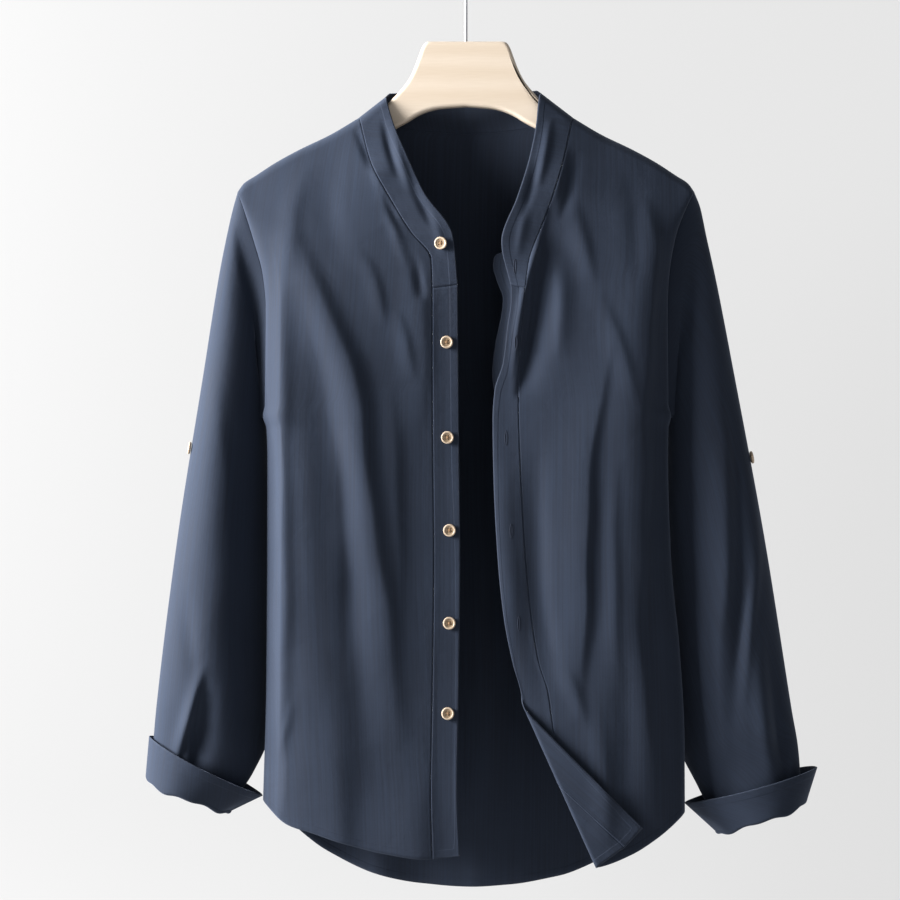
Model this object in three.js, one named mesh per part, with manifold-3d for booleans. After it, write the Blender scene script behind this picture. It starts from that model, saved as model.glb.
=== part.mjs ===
import * as THREE from "three";
import { mergeVertices } from "three/addons/utils/BufferGeometryUtils.js";
import Module from "manifold-3d";

// A band-collar linen shirt on a wooden hanger, worn open. Millimetres, +Z up, the front faces -Y.
// The origin is the inner top of the hook, where a rail carries it. A drop is a distance below the origin.
// Left and right are the viewer's.
const CLOTH = 1.2;
const DOUBLED_CLOTH = 1.8;
const SEAM_GAP = 0.3;
const HALF_PI = Math.PI / 2;

// The shoulder seam over the hanger's arm, from the neck point out to the sleeve.
const SHOULDER = [
  { across: 100, drop: 171 },
  { across: 127, drop: 187 },
  { across: 156, drop: 201 },
  { across: 178, drop: 213 },
  { across: 198, drop: 226 },
  { across: 208, drop: 232.5 },
  { across: 214, drop: 240.5 },
];
const NECK_SLOPE = 0.59;
const UNDERARM_DROP = 452;
const ARMHOLE_STAND = { front: 10, back: 36 };
const ARMHOLE_TURN = 62;
const SIDE_POWER = { front: 3.2, back: 2.1 };
const OVER_ARM_RADIUS = 9;
const OVER_ARM_GROWTH = 0.33;
// Folds start where the cloth stands this far out, and end this share of the width before the side.
const FOLD_DEPTH = 30;
const FOLD_SIDE_SHARE = 1 / 12;

// How far the front and the back stand out from the shirt's middle plane.
const FULLNESS = [
  { drop: 170, front: 38, back: 40 },
  { drop: 300, front: 42, back: 43 },
  { drop: 460, front: 46, back: 47 },
  { drop: 900, front: 48, back: 52 },
];

// Drops of the grid's rows at the opening and at the armhole.
// The collar takes rows 0 to 8, the armhole rows 0 to 12.
const UPPER_ROWS = [
  { opening: 171, side: 240.5 },
  { opening: 172.5, side: 242 },
  { opening: 176, side: 245.5 },
  { opening: 183, side: 251.5 },
  { opening: 197, side: 263 },
  { opening: 222, side: 282 },
  { opening: 255, side: 306 },
  { opening: 294, side: 332 },
  { opening: 333, side: 358 },
  { opening: 355, side: 383 },
  { opening: 377, side: 408 },
  { opening: 399, side: 431 },
  { opening: 422, side: 452 },
];
const COLLAR_ROW = 8;
const UNDERARM_ROW = 12;
const LAST_ROW = 30;
const FRONT_COLUMNS = 12;
const SHOULDER_COLUMNS = 6;
const NECK_COLUMNS = 10;
const BACK_COLUMNS = 2 * SHOULDER_COLUMNS + NECK_COLUMNS;
const RING_POINTS = 2 * UNDERARM_ROW;
// How much closer together the columns run near the sides, and how far down the shoulder bends the rows.
const COLUMN_BUNCHING = 0.8;
const SHOULDER_REACH = 120;

// The left half: armhole and side, neck seam, front edge with its placket seam, and the front hem.
const LEFT_SIDE = [
  { drop: 240.5, across: 214 },
  { drop: 254, across: 209 },
  { drop: 285, across: 199 },
  { drop: 321, across: 189.5 },
  { drop: 350, across: 187 },
  { drop: 440, across: 188 },
  { drop: 452, across: 190.2 },
  { drop: 462, across: 187 },
  { drop: 490, across: 186 },
  { drop: 700, across: 187 },
  { drop: 812, across: 190 },
];
const LEFT_NECK = [
  { drop: 171, across: 100 },
  { drop: 215, across: 88.5 },
  { drop: 250, across: 70 },
  { drop: 281, across: 51 },
  { drop: 306, across: 32 },
  { drop: 333, across: 31 },
];
const LEFT_EDGE = [
  { drop: 306, edge: 9.3, seam: 31 },
  { drop: 323, edge: 8, seam: 31 },
  { drop: 384, edge: 7.5, seam: 31 },
  { drop: 483, edge: 6.6, seam: 30.5 },
  { drop: 586, edge: 5.6, seam: 29.5 },
  { drop: 709, edge: 7, seam: 31 },
  { drop: 803, edge: 8.5, seam: 32.5 },
  { drop: 860, edge: 6, seam: 31 },
];
const LEFT_HEM = [
  { across: 5, drop: 858 },
  { across: 36, drop: 861 },
  { across: 75, drop: 856 },
  { across: 111, drop: 847 },
  { across: 142, drop: 837 },
  { across: 165, drop: 830 },
  { across: 190, drop: 810 },
];

// The right half, whose lower corner is turned back over its own front along a straight fold.
const RIGHT_SIDE = [
  { drop: 240.5, across: 214 },
  { drop: 254, across: 207 },
  { drop: 285, across: 195.5 },
  { drop: 321, across: 189.5 },
  { drop: 350, across: 188 },
  { drop: 440, across: 189 },
  { drop: 452, across: 192 },
  { drop: 462, across: 189.5 },
  { drop: 490, across: 189 },
  { drop: 586, across: 192 },
  { drop: 671, across: 200 },
  { drop: 752, across: 204.5 },
  { drop: 830, across: 205 },
];
const RIGHT_NECK = [
  { drop: 171, across: 100 },
  { drop: 215, across: 90 },
  { drop: 248, across: 80 },
  { drop: 276, across: 69.6 },
  { drop: 306, across: 58.5 },
  { drop: 333, across: 54 },
];
const RIGHT_EDGE = [
  { drop: 306, edge: 31, seam: 58 },
  { drop: 318, edge: 35.7, seam: 56 },
  { drop: 333, edge: 41.4, seam: 54 },
  { drop: 345, edge: 41.4, seam: 53 },
  { drop: 366, edge: 38.5, seam: 51 },
  { drop: 403, edge: 33.8, seam: 48.5 },
  { drop: 427, edge: 26.3, seam: 48 },
  { drop: 455, edge: 24.4, seam: 48.5 },
  { drop: 511, edge: 25.4, seam: 50.5 },
  { drop: 582, edge: 29.1, seam: 54.5 },
  { drop: 638, edge: 34.8, seam: 60 },
  { drop: 680, edge: 43, seam: 67 },
  { drop: 708.6, edge: 50.8, seam: 75.8 },
  { drop: 878, edge: 68.6, seam: 93.6 },
];
const RIGHT_HEM = [
  { across: 90, drop: 873 },
  { across: 123, drop: 868 },
  { across: 153, drop: 857 },
  { across: 179.5, drop: 841 },
  { across: 205, drop: 821 },
];
// The right placket's under layer, where it gapes behind the front edge.
const UNDER_LAYER = [
  { drop: 303, edge: 25.2 },
  { drop: 310, edge: 25.4 },
  { drop: 326, edge: 29 },
  { drop: 342, edge: 34.5 },
  { drop: 357, edge: 33 },
  { drop: 384, edge: 27.5 },
  { drop: 412, edge: 24.5 },
  { drop: 432, edge: 27 },
];
const UNDER_LAYER_INSET = 5;
const UNDER_LAYER_GAPE = 2.6;
const TURN_BACK = { topX: 50.8, topDrop: 708.6, footX: 122.5, footDrop: 868, radius: 2.6, lift: 0.05 };
const APEX = { x: 83.4, drop: 781.1 };
const CORNER = { edgeX: 61.1, edgeDrop: 877.4, seamX: 85.7, seamDrop: 876.4 };
const TURN_BACK_ROW = 21;
const TURNED_SHARES = [0, 0.03, 0.065, 0.11, 0.17, 0.25, 0.38, 0.55, 0.77, 1];
const TURNED_COLUMNS = 6;
const RIGHT_SIDE_AT_TURN = 748;

const BACK_HEM = [
  { x: -190, drop: 810 },
  { x: -165, drop: 838 },
  { x: -132, drop: 866 },
  { x: -88, drop: 888 },
  { x: -42, drop: 899 },
  { x: 0, drop: 902 },
  { x: 42, drop: 900 },
  { x: 90, drop: 891 },
  { x: 130, drop: 873 },
  { x: 170, drop: 849 },
  { x: 205, drop: 821 },
];
const NAPE = [
  { across: 0, drop: 182.5 },
  { across: 30, drop: 181.5 },
  { across: 60, drop: 178.5 },
  { across: 80, drop: 175.2 },
  { across: 100, drop: 171 },
];

// The collar band's free edge, by the drop of the neck seam beside it, from the shoulder down the V and
// then round the nape.
const LEFT_BAND = [
  { seam: 171, x: -75.5, drop: 151.5, y: 2 },
  { seam: 172.5, x: -75, drop: 153, y: -4.5 },
  { seam: 176, x: -74, drop: 156, y: -9 },
  { seam: 183, x: -72.3, drop: 162.5, y: -11 },
  { seam: 197, x: -67.5, drop: 178.5, y: -16.5 },
  { seam: 222, x: -55.5, drop: 207.5, y: -25.5 },
  { seam: 255, x: -39, drop: 244, y: -34 },
  { seam: 294, x: -12.6, drop: 284, y: -39 },
];
const RIGHT_BAND = [
  { seam: 171, x: 70, drop: 147.5, y: 2 },
  { seam: 172.5, x: 69.5, drop: 149, y: -5 },
  { seam: 176, x: 68.5, drop: 152, y: -9.5 },
  { seam: 183, x: 67.4, drop: 159, y: -11.8 },
  { seam: 197, x: 65.5, drop: 177.5, y: -16.5 },
  { seam: 222, x: 59, drop: 210, y: -25.5 },
  { seam: 255, x: 47.5, drop: 247.5, y: -35.5 },
  { seam: 294, x: 32.5, drop: 290.5, y: -39.8 },
];
const NAPE_BAND = [
  { x: -75.5, drop: 151.5, y: 2 },
  { x: -71, drop: 146, y: 14 },
  { x: -50, drop: 144, y: 25 },
  { x: 0, drop: 144, y: 35 },
  { x: 47, drop: 143, y: 25 },
  { x: 66, drop: 143.5, y: 14 },
  { x: 70, drop: 147.5, y: 2 },
];
const BAND_ROWS = 3;
const BAND_END_RISE = 3;

// The largest folds of the body: each runs straight from its top to its foot. Heights above zero are ridges.
const FRONT_FOLDS = [
  { topX: -170, topDrop: 290, footX: -92, footDrop: 520, width: 19, height: 5 },
  { topX: -160, topDrop: 320, footX: -30, footDrop: 690, width: 17, height: -5 },
  { topX: -152, topDrop: 480, footX: -166, footDrop: 960, width: 15, height: 5 },
  { topX: -118, topDrop: 520, footX: -112, footDrop: 980, width: 14, height: -5 },
  { topX: -78, topDrop: 560, footX: -66, footDrop: 980, width: 17, height: 5 },
  { topX: -84, topDrop: 190, footX: -66, footDrop: 300, width: 9, height: -3 },
  { topX: 84, topDrop: 250, footX: 62, footDrop: 440, width: 11, height: -5 },
  { topX: 96, topDrop: 300, footX: 104, footDrop: 980, width: 16, height: 6 },
  { topX: 126, topDrop: 400, footX: 136, footDrop: 980, width: 13, height: -5 },
  { topX: 150, topDrop: 300, footX: 166, footDrop: 960, width: 15, height: 5 },
];
const BACK_FOLDS = [
  { topX: -128, topDrop: 290, footX: -120, footDrop: 1020, width: 22, height: 6 },
  { topX: -84, topDrop: 340, footX: -78, footDrop: 1040, width: 19, height: -7 },
  { topX: -32, topDrop: 260, footX: -38, footDrop: 1080, width: 22, height: 5 },
  { topX: 18, topDrop: 380, footX: 12, footDrop: 1080, width: 18, height: -6 },
  { topX: 66, topDrop: 280, footX: 74, footDrop: 1040, width: 22, height: 7 },
  { topX: 116, topDrop: 350, footX: 124, footDrop: 1000, width: 19, height: -6 },
];

// Rings of the sleeves: where each reaches outside and inside, and how far it stands to front and back of
// the line between those two points. The inner points lie behind the body; ring 0 is the armhole's own plane.
const LEFT_SLEEVE = [
  { ring: 0, outX: -214, outDrop: 240.5, inX: -190.2, inDrop: 452, inY: 0, front: 13, back: 28 },
  { ring: 1, outX: -218.5, outDrop: 256, inX: -200, inDrop: 453.5, inY: 11, front: 13, back: 28 },
  { ring: 2, outX: -224, outDrop: 280, inX: -193, inDrop: 466, inY: 13, front: 17, back: 31 },
  { ring: 3, outX: -231.5, outDrop: 318, inX: -185, inDrop: 485, inY: 22, front: 24, back: 34 },
  { ring: 5, outX: -246.5, outDrop: 412, inX: -179, inDrop: 540, inY: 28, front: 31, back: 36 },
  { ring: 8, outX: -270, outDrop: 560, inX: -179, inDrop: 640, inY: 28, front: 34, back: 37 },
  { ring: 11, outX: -288.5, outDrop: 705, inX: -186, inDrop: 750, inY: 20, front: 30, back: 33 },
  { ring: 12, outX: -292.5, outDrop: 745, inX: -201, inDrop: 787, inY: 8, front: 23, back: 28 },
  { ring: 13, outX: -295.5, outDrop: 791, inX: -226, inDrop: 822, inY: 3, front: 25, back: 28 },
];
const RIGHT_SLEEVE = [
  { ring: 0, outX: 214, outDrop: 240.5, inX: 192, inDrop: 452, inY: 0, front: 13, back: 28 },
  { ring: 1, outX: 219.5, outDrop: 254, inX: 200, inDrop: 453.5, inY: 2, front: 13, back: 28 },
  { ring: 2, outX: 226, outDrop: 284, inX: 194, inDrop: 466, inY: 13, front: 17, back: 31 },
  { ring: 3, outX: 234, outDrop: 320, inX: 187, inDrop: 485, inY: 22, front: 24, back: 34 },
  { ring: 5, outX: 252, outDrop: 413, inX: 183, inDrop: 540, inY: 28, front: 31, back: 36 },
  { ring: 8, outX: 281, outDrop: 570, inX: 190, inDrop: 655, inY: 28, front: 34, back: 37 },
  { ring: 11, outX: 306, outDrop: 728, inX: 202, inDrop: 762, inY: 20, front: 30, back: 33 },
  { ring: 12, outX: 312, outDrop: 764, inX: 219, inDrop: 800, inY: 8, front: 23, back: 28 },
  { ring: 13, outX: 315.5, outDrop: 812, inX: 240, inDrop: 841, inY: 3, front: 25, back: 28 },
];
const SLEEVE_RINGS = 13;
// The ovals' fullness towards the outside and the bluntness of their ends.
const OUTER_FULLNESS = 0.28;
const OVAL_BLUNTNESS = 0.9;
// How many rings it takes the armhole's shape to fade out.
const ARMHOLE_FADE = { aside: 4, depth: 1.6 };
const LEFT_SLEEVE_FOLDS = [
  { topX: -240, topDrop: 400, footX: -256, footDrop: 720, width: 11, height: 4 },
  { topX: -244, topDrop: 640, footX: -283, footDrop: 840, width: 9, height: 6 },
  { topX: -222, topDrop: 640, footX: -260, footDrop: 850, width: 11, height: -6 },
];
const RIGHT_SLEEVE_FOLDS = [
  { topX: 236, topDrop: 380, footX: 262, footDrop: 760, width: 12, height: 4 },
  { topX: 262, topDrop: 600, footX: 288, footDrop: 850, width: 11, height: -5 },
  { topX: 276, topDrop: 650, footX: 302, footDrop: 850, width: 9, height: 4 },
];

// The turned-up ends: a fold under the sleeve's end, then a band that flares up to its lip.
const LEFT_LIP = { outX: -297.5, outDrop: 752, inX: -191.5, inDrop: 808, inY: 3, front: 31, back: 33 };
const RIGHT_LIP = { outX: 330, outDrop: 781, inX: 206, inDrop: 815, inY: 3, front: 30, back: 33 };
const CUFF_FOLD_RADIUS = 2.6;
const CUFF_FOLD_STEPS = 4;
const CUFF_BAND_STEPS = 3;

// Four-hole buttons on the left placket, and one sleeve button on each sleeve's outer side.
const BUTTON = { thickness: 2.6, holeRadius: 0.75, holeOffset: 1.25, segments: 18, holeSegments: 6 };
const BUTTON_PROFILE = [
  { radius: 0, height: 0 },
  { radius: 4.7, height: 0 },
  { radius: 5.9, height: 0.9 },
  { radius: 5.9, height: 2.1 },
  { radius: 5.2, height: 2.6 },
  { radius: 4.4, height: 2.5 },
  { radius: 3.9, height: 2 },
  { radius: 0, height: 2 },
];
const BUTTONS = [
  { x: -23.5, drop: 293 },
  { x: -17.9, drop: 384 },
  { x: -17.9, drop: 472 },
  { x: -15.5, drop: 557 },
  { x: -15.5, drop: 643 },
  { x: -17.9, drop: 727 },
];
const SLEEVE_BUTTONS = { left: 480, right: 490 };

// The hanger: half of the board's outline, mirrored about its middle, and the hook's wire.
const BOARD_THICKNESS = 13;
const BOARD_BEVEL = 3.5;
const BOARD_EDGE = [
  { across: 0, top: 99.5, bottom: 160.5 },
  { across: 25, top: 99.5, bottom: 162.5 },
  { across: 37, top: 99.5, bottom: 165.5 },
  { across: 41, top: 104, bottom: 167.2 },
  { across: 46, top: 118, bottom: 169.5 },
  { across: 53, top: 134, bottom: 174 },
  { across: 63, top: 147, bottom: 179.5 },
  { across: 73, top: 157.5, bottom: 184.5 },
  { across: 80, top: 166, bottom: 188 },
  { across: 87, top: 172, bottom: 191 },
  { across: 94, top: 175.2, bottom: 194.5 },
  { across: 104, top: 178.2, bottom: 199.5 },
  { across: 116, top: 183.2, bottom: 205.5 },
  { across: 128, top: 189.5, bottom: 212 },
  { across: 142, top: 196.3, bottom: 218.5 },
  { across: 156, top: 203, bottom: 225 },
  { across: 168, top: 209.3, bottom: 231 },
  { across: 180, top: 216.2, bottom: 237 },
  { across: 191, top: 223.5, bottom: 242 },
  { across: 197, top: 229.5, bottom: 241 },
];
const WIRE_RADIUS = 1.5;
const HOOK_RADIUS = 18.5;
const HOOK_END_ANGLE = 3.65;
const HOOK_STEM_TOP = 62;
const HOOK_STEM_FOOT = 116;
const HOOK_HOLE_DEPTH = 17;
const HOOK_HOLE_RADIUS = WIRE_RADIUS + SEAM_GAP;

const mix = (from, to, share) => from + (to - from) * share;
const clamp = (value, low, high) => Math.min(Math.max(value, low), high);

// Reads one column of a table between its rows: a cubic whose slopes are limited, so it never overshoots.
function reader(rows, key, column) {
  const places = rows.map((row) => row[key]);
  const values = rows.map((row) => row[column]);
  const slopes = places.slice(1).map((place, i) => (values[i + 1] - values[i]) / (place - places[i]));
  const tangents = places.map((_, i) => {
    const before = slopes[Math.max(i - 1, 0)];
    const after = slopes[Math.min(i, slopes.length - 1)];
    return before * after > 0 ? (2 * before * after) / (before + after) : 0;
  });
  return (wanted) => {
    const place = clamp(wanted, places[0], places[places.length - 1]);
    const found = places.findIndex((start, k) => k > 0 && place <= start);
    const i = Math.max(found - 1, 0);
    const span = places[i + 1] - places[i];
    const t = (place - places[i]) / span;
    return (
      values[i] * (1 + 2 * t) * (1 - t) ** 2 +
      tangents[i] * span * t * (1 - t) ** 2 +
      values[i + 1] * t * t * (3 - 2 * t) +
      tangents[i + 1] * span * t * t * (t - 1)
    );
  };
}

const shoulderSeam = reader(SHOULDER, "across", "drop");
const shoulderLine = (across) =>
  shoulderSeam(across) - NECK_SLOPE * Math.max(SHOULDER[0].across - across, 0);
const fullness = {
  front: reader(FULLNESS, "drop", "front"),
  back: reader(FULLNESS, "drop", "back"),
};
const napeSeam = reader(NAPE, "across", "drop");
const backHem = reader(BACK_HEM, "x", "drop");

const HALVES = {
  left: {
    sign: -1,
    side: reader(LEFT_SIDE, "drop", "across"),
    neck: reader(LEFT_NECK, "drop", "across"),
    edge: reader(LEFT_EDGE, "drop", "edge"),
    seam: reader(LEFT_EDGE, "drop", "seam"),
    hem: reader(LEFT_HEM, "across", "drop"),
    sideFoot: 810,
  },
  right: {
    sign: 1,
    side: reader(RIGHT_SIDE, "drop", "across"),
    neck: reader(RIGHT_NECK, "drop", "across"),
    edge: reader(RIGHT_EDGE, "drop", "edge"),
    seam: reader(RIGHT_EDGE, "drop", "seam"),
    hem: reader(RIGHT_HEM, "across", "drop"),
    sideFoot: 821,
  },
};
// On the left half the seam and the edge have negative x, on the right half positive.
const seamX = (half, drop) => half.sign * half.seam(drop);
const edgeX = (half, drop) => half.sign * half.edge(drop);

// Folds add their heights: bell-shaped across, and faded in and out along their length.
function foldHeight(folds, x, drop) {
  return folds.reduce((sum, fold) => {
    const runX = fold.footX - fold.topX;
    const runDrop = fold.footDrop - fold.topDrop;
    const length = Math.hypot(runX, runDrop);
    const along = ((x - fold.topX) * runX + (drop - fold.topDrop) * runDrop) / length ** 2;
    const aside = ((x - fold.topX) * runDrop - (drop - fold.topDrop) * runX) / length;
    const fade = Math.sin(Math.PI * clamp(along, 0, 1)) ** 0.8;
    return sum + fold.height * fade * Math.exp(-((aside / fold.width) ** 2));
  }, 0);
}

// Rises as the smaller of two depths, with a soft change from one to the other.
function softSmaller(a, b) {
  return a <= 0 || b <= 0 ? 0 : (a * b) / (a ** 4 + b ** 4) ** 0.25;
}

// How far the cloth stands out from the middle plane: rounded over the hanger's arm, filled out at the chest,
// and closed to nothing at the side seam, which starts at the underarm.
function standOut(x, drop, face) {
  const half = x < 0 ? HALVES.left : HALVES.right;
  const across = Math.abs(x);
  const share = clamp(across / half.side(drop), 0, 1);
  const turned = clamp((drop - UNDERARM_DROP + ARMHOLE_TURN) / ARMHOLE_TURN, 0, 1);
  const rim = ARMHOLE_STAND[face] * Math.sqrt(1 - turned ** 2);
  const power = SIDE_POWER[face];
  const filled = rim + (fullness[face](drop) - rim) * (1 - share ** power) ** (1 / power);
  const below = Math.max(drop - shoulderLine(across), 0);
  const turn = Math.min(below / OVER_ARM_RADIUS, 1);
  const over = OVER_ARM_RADIUS * Math.sqrt(1 - (1 - turn) ** 2) + OVER_ARM_GROWTH * below;
  const smooth = softSmaller(filled, over);
  const folds = face === "front" ? FRONT_FOLDS : BACK_FOLDS;
  const free = clamp(smooth / FOLD_DEPTH, 0, 1) * clamp((1 - share) / FOLD_SIDE_SHARE, 0, 1);
  return smooth + foldHeight(folds, x, drop) * free;
}

const frontPoint = (x, drop) => new THREE.Vector3(x, -standOut(x, drop, "front"), -drop);
const backPoint = (x, drop) => new THREE.Vector3(x, standOut(x, drop, "back"), -drop);

// Lays a flat point of the right front: past the fold line the cloth rolls over and comes back.
function laidPoint(x, drop) {
  const runX = TURN_BACK.footX - TURN_BACK.topX;
  const runDrop = TURN_BACK.footDrop - TURN_BACK.topDrop;
  const length = Math.hypot(runX, runDrop);
  const past = ((drop - TURN_BACK.topDrop) * runX - (x - TURN_BACK.topX) * runDrop) / length;
  if (past <= 0 || drop < TURN_BACK.topDrop) return frontPoint(x, drop);
  const { radius, lift } = TURN_BACK;
  const angle = Math.min(past / radius, Math.PI);
  const flat = Math.max(past - Math.PI * radius, 0);
  const moved = radius * Math.sin(angle) - flat - past;
  const place = frontPoint(x - (moved * runDrop) / length, drop + (moved * runX) / length);
  place.y -= radius * (1 - Math.cos(angle)) + lift * flat;
  return place;
}

// Columns run closer together towards the side, where the cloth turns away.
const bunched = (even) => (even === 1 ? 1 : mix(even, Math.sin(HALF_PI * even), COLUMN_BUNCHING));

// How far a row lies on its way from the underarm to the hem.
const hemShare = (row) => clamp((row - UNDERARM_ROW) / (LAST_ROW - UNDERARM_ROW), 0, 1);

// Where a row of a front's grid meets the opening side and the armhole or side seam.
function rowEnds(half, row) {
  const ends = { ...UPPER_ROWS[Math.min(row, UNDERARM_ROW)] };
  if (row > UNDERARM_ROW && half.sign < 0) {
    ends.opening = mix(ends.opening, half.hem(half.seam(LEFT_EDGE.at(-1).drop)), hemShare(row));
    ends.side = mix(ends.side, half.sideFoot, hemShare(row));
  }
  if (row > UNDERARM_ROW && half.sign > 0 && row <= TURN_BACK_ROW) {
    const share = (row - UNDERARM_ROW) / (TURN_BACK_ROW - UNDERARM_ROW);
    ends.opening = mix(ends.opening, APEX.drop, share);
    ends.side = mix(ends.side, RIGHT_SIDE_AT_TURN, share);
  }
  ends.openingX = row <= COLLAR_ROW ? half.sign * half.neck(ends.opening) : seamX(half, ends.opening);
  if (half.sign > 0 && row >= TURN_BACK_ROW) {
    const share = TURNED_SHARES[row - TURN_BACK_ROW];
    ends.opening = mix(APEX.drop, TURN_BACK.footDrop, share);
    ends.openingX = mix(APEX.x, TURN_BACK.footX, share);
    ends.side = mix(RIGHT_SIDE_AT_TURN, half.sideFoot, share);
  }
  ends.sideX = half.sign * half.side(ends.side);
  return ends;
}

// One front without its placket, as rows from shoulder to hem and columns from the opening to the side.
function frontGrid(half) {
  const rows = [];
  const foot = rowEnds(half, LAST_ROW);
  for (let row = 0; row <= LAST_ROW; row += 1) {
    const ends = rowEnds(half, row);
    const nearTop = clamp(1 - (ends.opening - SHOULDER[0].drop) / SHOULDER_REACH, 0, 1) ** 2;
    const nearHem = hemShare(row) ** 2;
    const points = [];
    for (let column = 0; column <= FRONT_COLUMNS; column += 1) {
      const share = bunched(column / FRONT_COLUMNS);
      const x = mix(ends.openingX, ends.sideX, share);
      const straight = mix(ends.opening, ends.side, share);
      const topX = mix(SHOULDER[0].across, SHOULDER.at(-1).across, share);
      const topBow = shoulderLine(topX) - mix(SHOULDER[0].drop, SHOULDER.at(-1).drop, share);
      const footX = mix(foot.openingX, foot.sideX, share);
      const hemBow = half.hem(Math.abs(footX)) - mix(foot.opening, foot.side, share);
      const inside = share > 0 && share < 1;
      points.push(frontPoint(x, straight + (inside ? topBow * nearTop + hemBow * nearHem : 0)));
    }
    rows.push(points);
  }
  return rows;
}

// The turned-back part of the right front, between the fold line and the placket's seam.
function turnedGrid() {
  return TURNED_SHARES.map((share, k) => {
    const fold = rowEnds(HALVES.right, TURN_BACK_ROW + k);
    const seam = { x: mix(APEX.x, CORNER.seamX, share), drop: mix(APEX.drop, CORNER.seamDrop, share) };
    const points = [];
    for (let column = TURNED_COLUMNS; column >= 0; column -= 1) {
      const part = (column / TURNED_COLUMNS) ** 1.4;
      const x = mix(fold.openingX, seam.x, part);
      const drop = mix(fold.opening, seam.drop, part);
      points.push(column === 0 ? frontPoint(x, drop) : laidPoint(x, drop));
    }
    return points;
  });
}

// A point of the back's top edge: shoulder seam, nape, shoulder seam.
function backTop(column) {
  const fromEnd = Math.min(column, BACK_COLUMNS - column);
  if (fromEnd <= SHOULDER_COLUMNS) {
    const share = bunched(1 - fromEnd / SHOULDER_COLUMNS);
    const across = mix(SHOULDER[0].across, SHOULDER.at(-1).across, share);
    return { x: column * 2 < BACK_COLUMNS ? across : -across, drop: shoulderLine(across) };
  }
  const x = SHOULDER[0].across * Math.cos((Math.PI * (column - SHOULDER_COLUMNS)) / NECK_COLUMNS);
  return { x, drop: napeSeam(Math.abs(x)) };
}

// The back in one piece: columns from the right side to the left, with both shoulder seams on top.
function backGrid() {
  const rows = [];
  const shoulderEnd = SHOULDER.at(-1);
  for (let row = 0; row <= LAST_ROW; row += 1) {
    const points = [];
    for (let column = 0; column <= BACK_COLUMNS; column += 1) {
      const even = 1 - (2 * column) / BACK_COLUMNS;
      const half = even < 0 ? HALVES.left : HALVES.right;
      const ends = rowEnds(half, row);
      const foot = rowEnds(half, LAST_ROW);
      const top = backTop(column);
      const spread = bunched(Math.abs(even));
      const upperX = (Math.abs(top.x) / shoulderEnd.across) * ends.sideX;
      const x = mix(upperX, spread * ends.sideX, Math.min(row / UNDERARM_ROW, 1));
      const down = (ends.side - shoulderEnd.drop) / (foot.side - shoulderEnd.drop);
      const drop = mix(top.drop, backHem(spread * foot.sideX), down);
      points.push(spread === 1 ? backPoint(ends.sideX, ends.side) : backPoint(x, drop));
    }
    rows.push(points);
  }
  return rows;
}

// The collar band: columns follow the neck seam from the left front end round the nape to the right one.
function collarGrid() {
  const stations = [];
  const steps = Array.from({ length: BAND_ROWS + 1 }, (_, step) => step / BAND_ROWS);
  const add = (seam, edge) => stations.push(steps.map((share) => edge.clone().lerp(seam, share)));
  const sideStation = (half, rows, row) => {
    if (row === COLLAR_ROW) {
      stations.push(bandEnd(half));
      return;
    }
    const { opening } = UPPER_ROWS[row];
    const [x, y, drop] = ["x", "y", "drop"].map((column) => reader(rows, "seam", column)(opening));
    add(frontPoint(half.sign * half.neck(opening), opening), new THREE.Vector3(x, y, -drop));
  };
  for (let row = COLLAR_ROW; row >= 0; row -= 1) sideStation(HALVES.left, LEFT_BAND, row);
  for (let column = 1; column < NECK_COLUMNS; column += 1) {
    const x = SHOULDER[0].across * Math.cos(Math.PI * (1 - column / NECK_COLUMNS));
    const edgeAt = mix(LEFT_BAND[0].x, RIGHT_BAND[0].x, (1 + x / SHOULDER[0].across) / 2);
    const edge = new THREE.Vector3(
      edgeAt,
      reader(NAPE_BAND, "x", "y")(edgeAt),
      -reader(NAPE_BAND, "x", "drop")(edgeAt),
    );
    add(backPoint(x, napeSeam(Math.abs(x))), edge);
  }
  for (let row = 0; row <= COLLAR_ROW; row += 1) sideStation(HALVES.right, RIGHT_BAND, row);
  return steps.map((_, step) => stations.map((station) => station[step]));
}

// Where the collar band ends at the top of a placket: points from the free edge to the neck seam.
function bandEnd(half) {
  const seamDrop = UPPER_ROWS[COLLAR_ROW].opening;
  const edgeDrop = seamDrop - BAND_END_RISE;
  const points = [];
  for (let step = 0; step <= BAND_ROWS; step += 1) {
    const share = step / BAND_ROWS;
    const x = mix(edgeX(half, edgeDrop), seamX(half, seamDrop), share);
    points.push(frontPoint(x, mix(edgeDrop, seamDrop, share)));
  }
  return points;
}

// The left placket: a straight strip from its seam to the front edge.
function leftPlacketGrid() {
  const half = HALVES.left;
  const rows = [bandEnd(half).reverse()];
  for (let row = COLLAR_ROW + 1; row <= LAST_ROW; row += 1) {
    const { opening } = rowEnds(half, row);
    const edge = mix(opening, half.hem(half.edge(opening)), hemShare(row) ** 2);
    rows.push([0, 1 / 3, 2 / 3, 1].map((t) =>
      frontPoint(mix(seamX(half, opening), edgeX(half, edge), t), mix(opening, edge, t))));
  }
  return rows;
}

// The right placket's under layer: close behind it at the seam, further back at the free edge.
function underLayerGrid() {
  const close = DOUBLED_CLOTH / 2 + CLOTH / 2 + SEAM_GAP;
  return UNDER_LAYER.map(({ drop, edge }) => {
    const inner = HALVES.right.seam(drop) - UNDER_LAYER_INSET;
    return [0, 0.35, 0.7, 1].map((share) => {
      const place = frontPoint(mix(edge, inner, share), drop);
      place.y += close + UNDER_LAYER_GAPE * (1 - share) ** 1.5;
      return place;
    });
  });
}

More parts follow.
